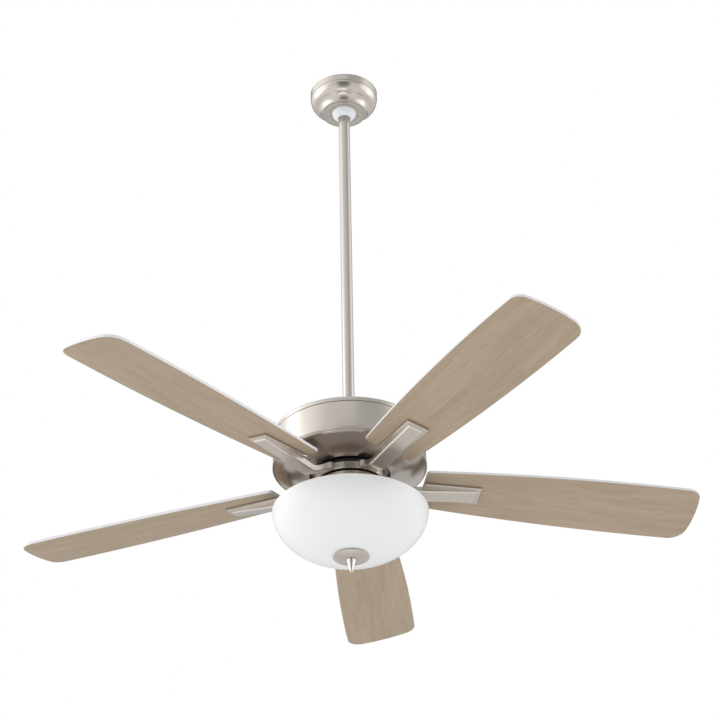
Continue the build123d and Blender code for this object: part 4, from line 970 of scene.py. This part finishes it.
class FAN_OT_canopy(bpy.types.Operator):
    """Build the ceiling canopy and the screws in its foot"""
    bl_idname = "fan.canopy"
    bl_label = "Ceiling canopy"

    def execute(self, context):
        place("canopy_shell", canopy_mesh(), "ceiling_mount", [satin_nickel()], "canopy")
        low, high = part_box("canopy_screws")
        screw = screw_mesh(TRIM_SCREW, TRIM_SCREW)
        spot = (high.x - SCREW_HEAD * TRIM_SCREW, 0.0, low.z + TRIM_SCREW)
        screw.transform(Matrix.Translation(spot))
        place("canopy_screw_heads", round_copies(screw, bright_nickel(), 2), "ceiling_mount",
              [bright_nickel()], "canopy_screws")
        return {"FINISHED"}


class FAN_OT_hanger(bpy.types.Operator):
    """Finish the bracket, the hanger ball and its pin"""
    bl_idname = "fan.hanger"
    bl_label = "Bracket and hanger ball"

    def execute(self, context):
        carried(zinc_steel, "ceiling_bracket")
        carried(white_plastic, "hanger_ball")
        carried(zinc_steel, "ball_cross_pin")
        return {"FINISHED"}


class FAN_OT_rod(bpy.types.Operator):
    """Finish the downrod and build the cover over its yoke"""
    bl_idname = "fan.rod"
    bl_label = "Downrod and coupling cover"

    def execute(self, context):
        carried(rod_nickel, "downrod", slot="satin_nickel")
        place("coupling_cover_shell", cover_mesh(), "fan_frame", [satin_nickel()],
              "coupling_cover")
        return {"FINISHED"}


# ---------------------------------------------------------------- motor housing
def drum_mesh():
    """The drum: a rounded rim band, a dark groove, a flared wall and two rings at its foot."""
    size = sizes("fan_motor")
    flare, low, high = reach("upper_housing")
    rim = flare - size.flare
    groove = high - size.band
    deep = rim - size.groove
    foot = low + 2.2 * size.bead
    between_rings = flare - size.bead_groove
    wall_end = (flare - 0.9 * MM, foot + 1.2 * MM, 20 * MM)
    notch = (flare - 1.3 * MM, foot + 0.4 * MM, HEM)
    wall = size.wall
    return turned("drum", rounded([
        (size.rod_hole, high), (rim - size.crown, high, 12 * MM), (rim, high - size.crown_drop, size.edge),
        (rim, groove, EDGE), (deep, groove - 0.25 * size.groove), (deep, groove - 0.75 * size.groove),
        (rim + 0.1 * MM, groove - size.groove, EDGE), wall_end, notch, (flare, foot, 0.7 * MM),
        (flare, foot - size.bead, 0.6 * MM), (between_rings, foot - 1.1 * size.bead),
        (between_rings, foot - 1.3 * size.bead), (flare, foot - 1.4 * size.bead, 0.4 * MM),
        (flare, low, HEM), (flare - 2 * wall, low), (flare - 2 * wall, foot), (deep - wall, groove),
        (deep - wall, high - wall), (size.rod_hole, high - wall)]))


def pan_mesh():
    """The pan under the motor: a rolled edge, a step and a hollow underside that ends at the hub."""
    size = sizes("fan_motor")
    edge, low, high = reach("lower_housing")
    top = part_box("upper_housing")[0].z
    roll, wall, mouth = size.roll, size.wall, size.mouth
    rim_low = top - 2 * roll
    start = (edge - 2.6 * roll, rim_low - 0.2 * roll)
    mouth_lip = (mouth + 2.5 * MM, low + 0.6 * MM)
    collar = edge - size.collar
    outside = arc_points(start, mouth_lip, size.belly, 26)
    inside = arc_points((mouth, low + 2 * wall), (collar - wall, rim_low + wall), -size.belly, 18)
    return turned("pan", rounded([
        (collar, high), (collar, top), (edge - roll, top), (edge, top, 0.9 * roll),
        (edge, rim_low, 0.9 * roll), (edge - 1.9 * roll, rim_low, 0.3 * roll),
        (edge - 2.2 * roll, rim_low + 0.5 * roll, 0.3 * roll), start, *outside, (mouth, low, 1.2 * MM),
        (mouth, low + 2 * wall), *inside, (collar - wall, high)]))


class FAN_OT_housing(bpy.types.Operator):
    """Build the motor's drum and pan"""
    bl_idname = "fan.housing"
    bl_label = "Motor housing"

    def execute(self, context):
        place("drum_shell", drum_mesh(), "fan_frame", [satin_nickel()], "upper_housing")
        place("pan_shell", pan_mesh(), "fan_frame", [satin_nickel()], "lower_housing")
        return {"FINISHED"}


# ---------------------------------------------------------------- irons and blades
def on_blade(point, pitch, turn):
    """A point given along, across and above a blade's underside, put in the frame."""
    along, across, above = point
    level = BLADE_LEVEL + across * sin(pitch) + above * cos(pitch)
    side = across * cos(pitch) - above * sin(pitch)
    return (along * cos(turn) - side * sin(turn), along * sin(turn) + side * cos(turn), level)


def arm_sections(size, pitch, turn):
    """Cross-sections of the arm from inside the ring to its tip."""
    ring_low, ring_high = -4.9 * MM, 10.6 * MM      # the arm's faces at the ring, from the blade's level
    start = RING_RADIUS - 7 * MM
    bend_start = RING_RADIUS - 1 * MM
    sunk = 0.2 * MM                                 # how far the arm's back lies in the plate
    bend_steps, straight_steps = 22, 20
    bevel = size.bevel
    tip = size.plate_end - size.border
    stations = [start + (size.neck - start) * step / bend_steps for step in range(bend_steps)]
    stations += [size.neck + (tip - bevel - size.neck) * step / straight_steps
                 for step in range(straight_steps + 1)]
    sections = []
    for along in (*stations, tip):
        rise = smooth((along - bend_start) / (size.neck - RING_RADIUS))
        out = max(0.0, (along - size.neck) / (tip - size.neck))
        to_plate = min(max(0.0, (along - size.neck) / (size.plate_root - size.neck)), 1.0)
        low = ring_low + (-size.neck_low - ring_low) * rise + (size.neck_low - size.tip_low) * out
        high = ring_high + (-size.neck_high - ring_high) * rise
        high += (size.neck_high - size.plate + sunk) * to_plate
        half = size.arm_width / 2
        half += size.fillet * (1 - smooth((along - RING_RADIUS) / size.flare)) ** 2
        side = low + bevel
        face = side if along == tip else low
        outline = [(-half, high), (-half, side), (-half + bevel, face), (half - bevel, face), (half, side),
                   (half, high)]
        sections.append([on_blade((along, across, above), pitch * rise, turn) for across, above in outline])
    return sections


def iron_mesh(number):
    """One cast iron: a fifth of the hub ring, a twisted arm and a plate under the blade."""
    size = sizes("fan_iron")
    pitch = sizes("fan_blade").pitch
    middle = FIRST_ANGLE + STEP_ANGLE * number
    turn = radians(middle)
    low, inner = BLADE_LEVEL - size.ring_drop, RING_RADIUS - size.ring_width
    half = (STEP_ANGLE - degrees(size.seam)) / 2
    ring_part = turned("ring_part", rounded([
        (inner, low, EDGE), (RING_RADIUS, low, size.ring_edge), (RING_RADIUS, RING_TOP, size.ring_edge),
        (inner, RING_TOP, EDGE)]), steps=40, first=middle - half, sweep=2 * half)
    # The ring takes the second material, the darker housing nickel, as painted shade beside the paler arm of
    # the same casting.
    ring_part.polygons.foreach_set("material_index", [1] * len(ring_part.polygons))
    arm = lofted("arm", arm_sections(size, pitch, turn))
    wide, corner_radius, gap = size.plate_width / 2, 1.2 * MM, 0.05 * MM
    corners = [(size.plate_root, -wide), (size.plate_end, -wide), (size.plate_end, wide),
               (size.plate_root, wide)]
    outline = rounded([(*corner, corner_radius) for corner in corners])
    plate = slab("plate", outline, -size.plate, -gap, 0.8 * MM)
    for corner in plate.vertices:
        corner.co = on_blade(corner.co, pitch, turn)
    return joined("iron", [ring_part, arm, plate]), turn


def blade_outline(size):
    """The blade's flat shape, from its root to its rounded tip."""
    room_across, room_along = 6 * MM, 8 * MM        # kept free of points beside a rounded corner
    tip = size.tip - size.tip_bulge
    lead = arc_points((size.root, size.root_lead), (tip, size.tip_lead), size.lead_bulge, 32)
    trail = arc_points((tip, -size.tip_trail), (size.root, -size.root_trail), size.trail_bulge, 32)
    far = arc_points((tip, size.tip_lead), (tip, -size.tip_trail), size.tip_bulge, 16)
    start = size.root + size.root_corner + room_across
    lead_end = tip - size.lead_corner - room_along
    trail_end = tip - size.trail_corner - room_along
    low = -size.tip_trail + size.trail_corner + room_across
    high = size.tip_lead - size.lead_corner - room_across
    return rounded([
        (size.root, -size.root_trail, size.root_corner), (size.root, size.root_lead, size.root_corner),
        *[point for point in lead if start < point[0] < lead_end], (tip, size.tip_lead, size.lead_corner),
        *[point for point in far if low < point[1] < high], (tip, -size.tip_trail, size.trail_corner),
        *[point for point in trail if start < point[0] < trail_end]])


def blade_mesh(number):
    """One plywood blade."""
    size = sizes("fan_blade")
    turn = radians(FIRST_ANGLE + STEP_ANGLE * number)
    mesh = slab("blade", blade_outline(size), 0.0, size.thickness, size.round_over)
    for corner in mesh.vertices:
        corner.co = on_blade(corner.co, size.pitch, turn)
    return mesh, turn


def washer_mesh(radius, thickness):
    """A soft washer round a screw, its underside on z = 0."""
    bore, rim = radius + 0.3 * MM, 2.6 * radius
    return turned("washer", rounded([
        (bore, 0.0), (rim, 0.0, 0.2 * MM), (rim, thickness, HEM), (bore, thickness)]), steps=32)


class FAN_OT_irons(bpy.types.Operator):
    """Build the five blade irons"""
    bl_idname = "fan.irons"
    bl_label = "Blade irons"

    def execute(self, context):
        for number, node in enumerate(IRONS):
            mesh, turn = iron_mesh(number)
            # The arm takes a paler copy of the nickel as painted light; the ring keeps the housing's darker
            # nickel as painted shade.
            place(f"{node}_cast", mesh, "rotor", [iron_nickel(turn), satin_nickel()], node)
        return {"FINISHED"}


class FAN_OT_blades(bpy.types.Operator):
    """Build the five blades"""
    bl_idname = "fan.blades"
    bl_label = "Blades"

    def execute(self, context):
        for number, node in enumerate(BLADES):
            mesh, turn = blade_mesh(number)
            # The blades' edge faces take the painted edge highlight.
            place(f"{node}_board", mesh, "rotor", [oak_face(turn), edge_band()], node)
        return {"FINISHED"}


class FAN_OT_fasteners(bpy.types.Operator):
    """Build the screws and washers on the blades"""
    bl_idname = "fan.fasteners"
    bl_label = "Blade screws"

    def execute(self, context):
        blade, iron = sizes("fan_blade"), sizes("fan_iron")
        radius = blade.screw_radius
        near = iron.plate_root + blade.screw_inset
        far = iron.plate_end - iron.border - blade.screw_end
        heads, rings = [], []
        for along, across in ((near, -blade.screw_spread), (near, blade.screw_spread), (far, 0.0)):
            head = screw_mesh(radius, radius)
            spot = Matrix.Translation((along, across, blade.thickness + blade.washer))
            head.transform(spot @ Matrix.Rotation(pi, 4, "X"))
            heads.append(head)
            ring = washer_mesh(radius, blade.washer)
            ring.transform(Matrix.Translation((along, across, blade.thickness)))
            rings.append(ring)
        for name, parts, finish, node in (("blade_screw_heads", heads, zinc_steel, "blade_screws"),
                                          ("blade_washer_rings", rings, rubber_pad, "blade_washers")):
            mesh = round_copies(joined(name, parts), finish(), len(BLADES), radians(FIRST_ANGLE), blade.pitch,
                                BLADE_LEVEL)
            place(name, mesh, "rotor", [finish()], node)
        return {"FINISHED"}


# ---------------------------------------------------------------- light kit
def bowl_mesh():
    """The opal bowl with its wall and rounded rim."""
    size = sizes("fan_light")
    radius, low, high = reach("glass_bowl")
    mesh = grown(bpy.data.meshes.new("bowl"), bowl_tree(), {
        "Radius": radius, "Depth": size.bowl_depth, "Rim Level": high, "Foot Level": low,
        "Hole": size.bowl_hole, "Rings": BOWL_RINGS, "Segments": TURN_STEPS + 1, "Material": opal_glass()})
    edit = bmesh.new()
    edit.from_mesh(mesh)
    bmesh.ops.recalc_face_normals(edit, faces=edit.faces)
    centre = Vector((0.0, 0.0, high))
    if sum(face.normal.dot(face.calc_center_median() - centre) for face in edit.faces) < 0:
        bmesh.ops.reverse_faces(edit, faces=edit.faces)
    edit.to_mesh(mesh)
    edit.free()
    host = linked("bowl", mesh)
    wall = host.modifiers.new("wall", "SOLIDIFY")
    wall.thickness = size.bowl_wall
    wall.offset = -1.0
    wall.use_even_offset = True
    rim = host.modifiers.new("rim", "BEVEL")
    rim.width = size.bowl_rim
    rim.segments = 4
    rim.limit_method = "ANGLE"
    rim.angle_limit = radians(50)
    result = evaluated(host)
    result.shade_smooth()
    result.set_sharp_from_angle(angle=radians(40))
    return result


def cap_mesh():
    """The finial's cap: a shallow dish with a rolled rim."""
    size = sizes("fan_light")
    radius, low, high = reach("finial_cap")
    bore, lip = size.stem_bore, size.cap_lip
    floor = high - lip
    seat = reach("bowl_gasket")[0] + lip
    rim = radius - 1.2 * lip
    under = arc_points((size.cap_land, low), (rim, floor + 0.2 * lip), -size.cap_belly, 16)
    return turned("cap", rounded([
        (bore, floor), (bore, low), (size.cap_land, low), *under[:-1], (rim, floor + 0.1 * lip, 0.2 * MM),
        (radius, floor + 0.15 * lip, 0.55 * MM), (radius, high, 0.6 * MM), (radius - 1.1 * lip, high, EDGE),
        (seat, floor)]), steps=128)


def knob_mesh():
    """The finial's knob: a collar, a rounded shoulder, a taper and a small ball tip."""
    size = sizes("fan_light")
    radius, low, high = reach("finial_knob")
    bore, tip = size.stem_bore, size.knob_tip
    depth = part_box("stem")[0].z - 0.05 * MM
    chamfer = 0.8 * MM
    shoulder = high - size.knob_collar
    taper = shoulder - low - size.knob_ball
    outline = [(bore, high), (radius - chamfer, high, HEM), (radius, high - chamfer, chamfer),
               (radius, shoulder, 1.2 * MM)]
    steps = 15
    for step in range(1, steps):
        down = step / steps
        hollow = size.knob_hollow * sin(pi * down)
        outline.append((radius - (radius - tip) * down ** 1.25 - hollow, shoulder - taper * down))
    outline += [(0.92 * tip, low + 2.6 * MM), (tip, low + 1.5 * MM, 0.8 * MM), (0.8 * tip, low, 0.6 * MM),
                (0.45 * tip, low), (POLE, low + 1.2 * MM), (POLE, depth), (bore, depth)]
    return turned("knob", rounded(outline), steps=96)


class FAN_OT_neck(bpy.types.Operator):
    """Finish the neck under the hub with its plate, screws and switch"""
    bl_idname = "fan.neck"
    bl_label = "Light neck"

    def execute(self, context):
        carried(satin_nickel, "neck", "neck_plate")
        carried(black_plastic, "reverse_switch_knob", "reverse_switch_body")
        low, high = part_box("neck_screws")
        screw = screw_mesh(TRIM_SCREW, TRIM_SCREW)
        spot = Matrix.Translation((0.0, high.y - TRIM_SCREW, (low.z + high.z) / 2))
        screw.transform(spot @ Matrix.Rotation(pi / 2, 4, "X"))
        place("neck_screw_heads", round_copies(screw, bright_nickel(), 3), "fan_frame", [bright_nickel()],
              "neck_screws")
        return {"FINISHED"}


class FAN_OT_lamps(bpy.types.Operator):
    """Finish the lamp body, the sockets, the bulbs and the stem"""
    bl_idname = "fan.lamps"
    bl_label = "Lamps"

    def execute(self, context):
        for finish, node in ((zinc_steel, "lamp_body"), (white_plastic, "lamp_sockets"),
                             (bulb_white, "lamp_bulbs"), (brass_stem, "stem"), (zinc_steel, "stem_nuts")):
            carried(finish, node)
        return {"FINISHED"}


class FAN_OT_bowl(bpy.types.Operator):
    """Build the opal glass bowl"""
    bl_idname = "fan.bowl"
    bl_label = "Glass bowl"

    def execute(self, context):
        place("bowl_glass", bowl_mesh(), "bowl", [opal_glass()], "glass_bowl")
        return {"FINISHED"}


class FAN_OT_finial(bpy.types.Operator):
    """Build the cap, the knob and the gasket that hold the bowl"""
    bl_idname = "fan.finial"
    bl_label = "Finial"

    def execute(self, context):
        # The cap's nickel is a paler copy of the housing's, painted light.
        place("finial_cap_dish", cap_mesh(), "finial", [cap_nickel()], "finial_cap")
        place("finial_knob_turned", knob_mesh(), "finial", [bright_nickel()],
              "finial_knob")
        carried(rubber_pad, "bowl_gasket")
        return {"FINISHED"}


# ---------------------------------------------------------------- pieces inside
class FAN_OT_inside(bpy.types.Operator):
    """Give the pieces inside the housing their finishes"""
    bl_idname = "fan.inside"
    bl_label = "Motor and inner pieces"

    def execute(self, context):
        carried(dark_casting, "flywheel", "motor_yoke")
        kept = {
            zinc_steel: ["clevis_pin", "hairpin", "yoke_set_screws", "housing_screws", "rotor_case_screws",
                         "flywheel_screws", "iron_bolts", "shaft_nut"],
            machined_steel: ["motor_shaft", "bearing_inner_races", "bearing_outer_races", "bearing_balls"],
            motor_aluminium: ["rotor_case_upper", "rotor_case_lower", "rotor_ring"],
            core_steel: ["stator_core"],
            copper_winding: ["stator_windings"],
            black_plastic: ["capacitor"],
        }
        for finish, nodes in kept.items():
            for node in nodes:
                piece = frame["nodes"][node]
                piece.data.materials.clear()
                piece.data.materials.append(finish())
        return {"FINISHED"}


# ---------------------------------------------------------------- stage
WORLD_LEVEL = 0.90          # brightness of the studio as the fan mirrors it
WORLD_LEAST = 0.10
# Regions of the studio: direction, cosine where a region starts, cosine where it is full, added brightness.
WORLD_REGIONS = (
    ((0.0, 0.80, -0.60), 0.72, 0.98, -0.24),        # behind the fan, low
    ((0.0, 0.85, 0.53), 0.72, 0.94, -0.58),         # behind the fan, high
    ((0.50, -0.61, 0.62), 0.86, 0.99, -0.30),       # in front, high on the right
    ((-0.93, 0.05, 0.36), 0.55, 0.96, 0.50),        # left, wide
    ((-0.98, -0.10, 0.05), 0.80, 0.97, 0.60),       # left, middle
    ((0.97, -0.05, 0.10), 0.76, 0.97, 0.72),        # right
    ((-0.2, -0.45, -0.87), 0.30, 0.95, 0.16),       # below
)
CARD_EDGE = (0.915, 0.975)      # the dark card in front: cosines of its soft sides,
CARD_TOP = (0.50, 0.36)         # heights of its soft top
CARD_FOOT = (-0.82, -0.50)      # and foot,
CARD_AMOUNT = -0.68             # and the brightness that it adds
LIGHTS = (                      # name, place, width, height, power
    ("Left softbox", (-3.2, 0.2, 0.1), 1.4, 2.2, 9.0),
    ("Right softbox", (3.4, 0.2, -0.2), 1.0, 2.4, 5.0),
    ("Low fill", (-0.6, -1.4, -3.6), 2.4, 2.0, 8.0),
)
LIT_POINT = Vector((0.0, 0.0, -0.95))


def studio_world():
    """A white studio: white to the eye, dimmer behind and under the fan where metal would mirror it."""
    world = bpy.data.worlds.new("Studio")
    bpy.context.scene.world = world
    world.use_nodes = True
    world.node_tree.nodes.clear()
    helper = Tree(world.node_tree)
    way = helper.add("ShaderNodeTexCoord").outputs["Generated"]

    def cosine(vector, direction):
        """How nearly a way points in a direction."""
        return helper.add("ShaderNodeVectorMath", {"operation": "DOT_PRODUCT"}, _0=vector,
                          _1=tuple(Vector(direction).normalized())).outputs["Value"]

    level = WORLD_LEVEL
    for direction, low, high, amount in WORLD_REGIONS:
        mask = helper.add("ShaderNodeMapRange", {"interpolation_type": "SMOOTHSTEP"},
                          Value=cosine(way, direction))
        helper.feed(mask, "From Min", low)
        helper.feed(mask, "From Max", high)
        level = helper.math("MULTIPLY_ADD", mask.outputs[0], amount, level)
    flat = helper.add("ShaderNodeVectorMath", {"operation": "NORMALIZE"},
                      _0=stretched(helper, way, (1.0, 1.0, 0.0)))
    height = helper.add("ShaderNodeSeparateXYZ", _0=way).outputs["Z"]
    sides = spread(helper, cosine(flat.outputs[0], (0.0, -1.0, 0.0)), *CARD_EDGE)
    card = helper.math("MULTIPLY", sides, spread(helper, height, *CARD_TOP))
    card = helper.math("MULTIPLY", card, spread(helper, height, *CARD_FOOT))
    level = helper.math("MAXIMUM", helper.math("MULTIPLY_ADD", card, CARD_AMOUNT, level), WORLD_LEAST)
    seen = helper.add("ShaderNodeMix", Factor=helper.add("ShaderNodeLightPath").outputs["Is Camera Ray"])
    helper.feed(seen, 2, level)
    helper.feed(seen, 3, 1.0)
    backdrop = helper.add("ShaderNodeBackground", Color=(1.0, 1.0, 1.0, 1.0), Strength=seen.outputs[0])
    helper.add("ShaderNodeOutputWorld", Surface=backdrop.outputs[0])


def soft_light(name, where, width, height, power):
    """A rectangular soft light that faces the fan."""
    data = bpy.data.lights.new(name, "AREA")
    data.shape = "RECTANGLE"
    data.size, data.size_y = width, height
    data.energy = power
    lamp = linked(name, data)
    lamp.location = where
    lamp.rotation_mode = "QUATERNION"
    lamp.rotation_quaternion = (LIT_POINT - Vector(where)).to_track_quat("-Z", "Y")


def pale_floor(size):
    """A wide pale floor that neither shades nor lights the fan."""
    half, drop = size.floor_half, -size.floor_drop
    corners = [(-half, -half, drop), (half, -half, drop), (half, half, drop), (-half, half, drop)]
    mesh = bpy.data.meshes.new("floor")
    mesh.from_pydata(corners, [], [(0, 1, 2, 3)])
    material, helper, shader, spot = new_finish("Pale floor", {"Roughness": 0.9})
    tinted(helper, shader, noise(helper, spot, 3.0), (0.93, 0.93, 0.925), (0.96, 0.96, 0.955))
    mesh.materials.append(material)
    floor = linked("floor", mesh)
    floor.visible_glossy = False
    floor.visible_diffuse = False
    floor.visible_shadow = False


def camera_below(size):
    """The camera, low in front of the fan and looking up."""
    data = bpy.data.cameras.new("Camera")
    data.lens = size.lens
    data.clip_end = 100.0
    camera = linked("Camera", data)
    where = Vector((0.0, -size.distance, -size.drop))
    ahead = (Vector((size.aim_side, 0.0, -size.aim_drop)) - where).normalized()
    right = ahead.cross(Vector((0, 0, 1))).normalized()
    above = right.cross(ahead)
    rolled_right = right * cos(size.roll) - above * sin(size.roll)
    rolled_above = above * cos(size.roll) + right * sin(size.roll)
    turn = Matrix((rolled_right, rolled_above, -ahead)).transposed()
    camera.matrix_world = Matrix.Translation(where) @ turn.to_4x4()
    bpy.context.scene.camera = camera


class FAN_OT_stage(bpy.types.Operator):
    """Lay the floor and set the lights and the camera"""
    bl_idname = "fan.stage"
    bl_label = "Floor, lights and camera"

    def execute(self, context):
        pale_floor(sizes("fan_stage"))
        studio_world()
        for light in LIGHTS:
            soft_light(*light)
        camera_below(sizes("fan_stage"))
        return {"FINISHED"}


# ---------------------------------------------------------------- panel and registration
GROUPS = (
    ("fan_canopy", FanCanopySizes), ("fan_motor", FanMotorSizes), ("fan_iron", FanIronSizes),
    ("fan_blade", FanBladeSizes), ("fan_light", FanLightSizes), ("fan_finishes", FanFinishes),
    ("fan_stage", FanStageSizes),
)
STEPS = (
    FAN_OT_stage, FAN_OT_canopy, FAN_OT_hanger, FAN_OT_rod, FAN_OT_housing, FAN_OT_irons, FAN_OT_blades,
    FAN_OT_fasteners, FAN_OT_neck, FAN_OT_lamps, FAN_OT_bowl, FAN_OT_finial, FAN_OT_inside,
)


class FAN_PT_panel(bpy.types.Panel):
    """Lists the fan's sizes and building steps."""
    bl_idname = "FAN_PT_panel"
    bl_label = "Ceiling Fan"
    bl_space_type = "VIEW_3D"
    bl_region_type = "UI"
    bl_category = "Ceiling Fan"

    def draw(self, context):
        """Draw a button for each step and a field for each size."""
        for step in STEPS:
            self.layout.operator(step.bl_idname)
        for name, group in GROUPS:
            box = self.layout.box()
            box.label(text=group.__doc__)
            for key in group.__annotations__:
                box.prop(getattr(context.scene, name), key)


def register():
    """Register the classes and hang the property groups on the scene."""
    for name, group in GROUPS:
        bpy.utils.register_class(group)
        setattr(bpy.types.Scene, name, bpy.props.PointerProperty(type=group))
    for step in STEPS:
        bpy.utils.register_class(step)
    bpy.utils.register_class(FAN_PT_panel)


def unregister():
    """Undo register."""
    bpy.utils.unregister_class(FAN_PT_panel)
    for step in reversed(STEPS):
        bpy.utils.unregister_class(step)
    for name, group in reversed(GROUPS):
        delattr(bpy.types.Scene, name)
        bpy.utils.unregister_class(group)


def main():
    """Build every piece in order and write the boxes of the frame and of the finished fan."""
    register()
    bpy.context.scene.view_settings.view_transform = "Standard"
    for step in STEPS:
        family, name = step.bl_idname.split(".")
        if getattr(getattr(bpy.ops, family), name)() != {"FINISHED"}:
            raise RuntimeError(f"{step.bl_label} did not finish")


if __name__ == "__main__":
    main()
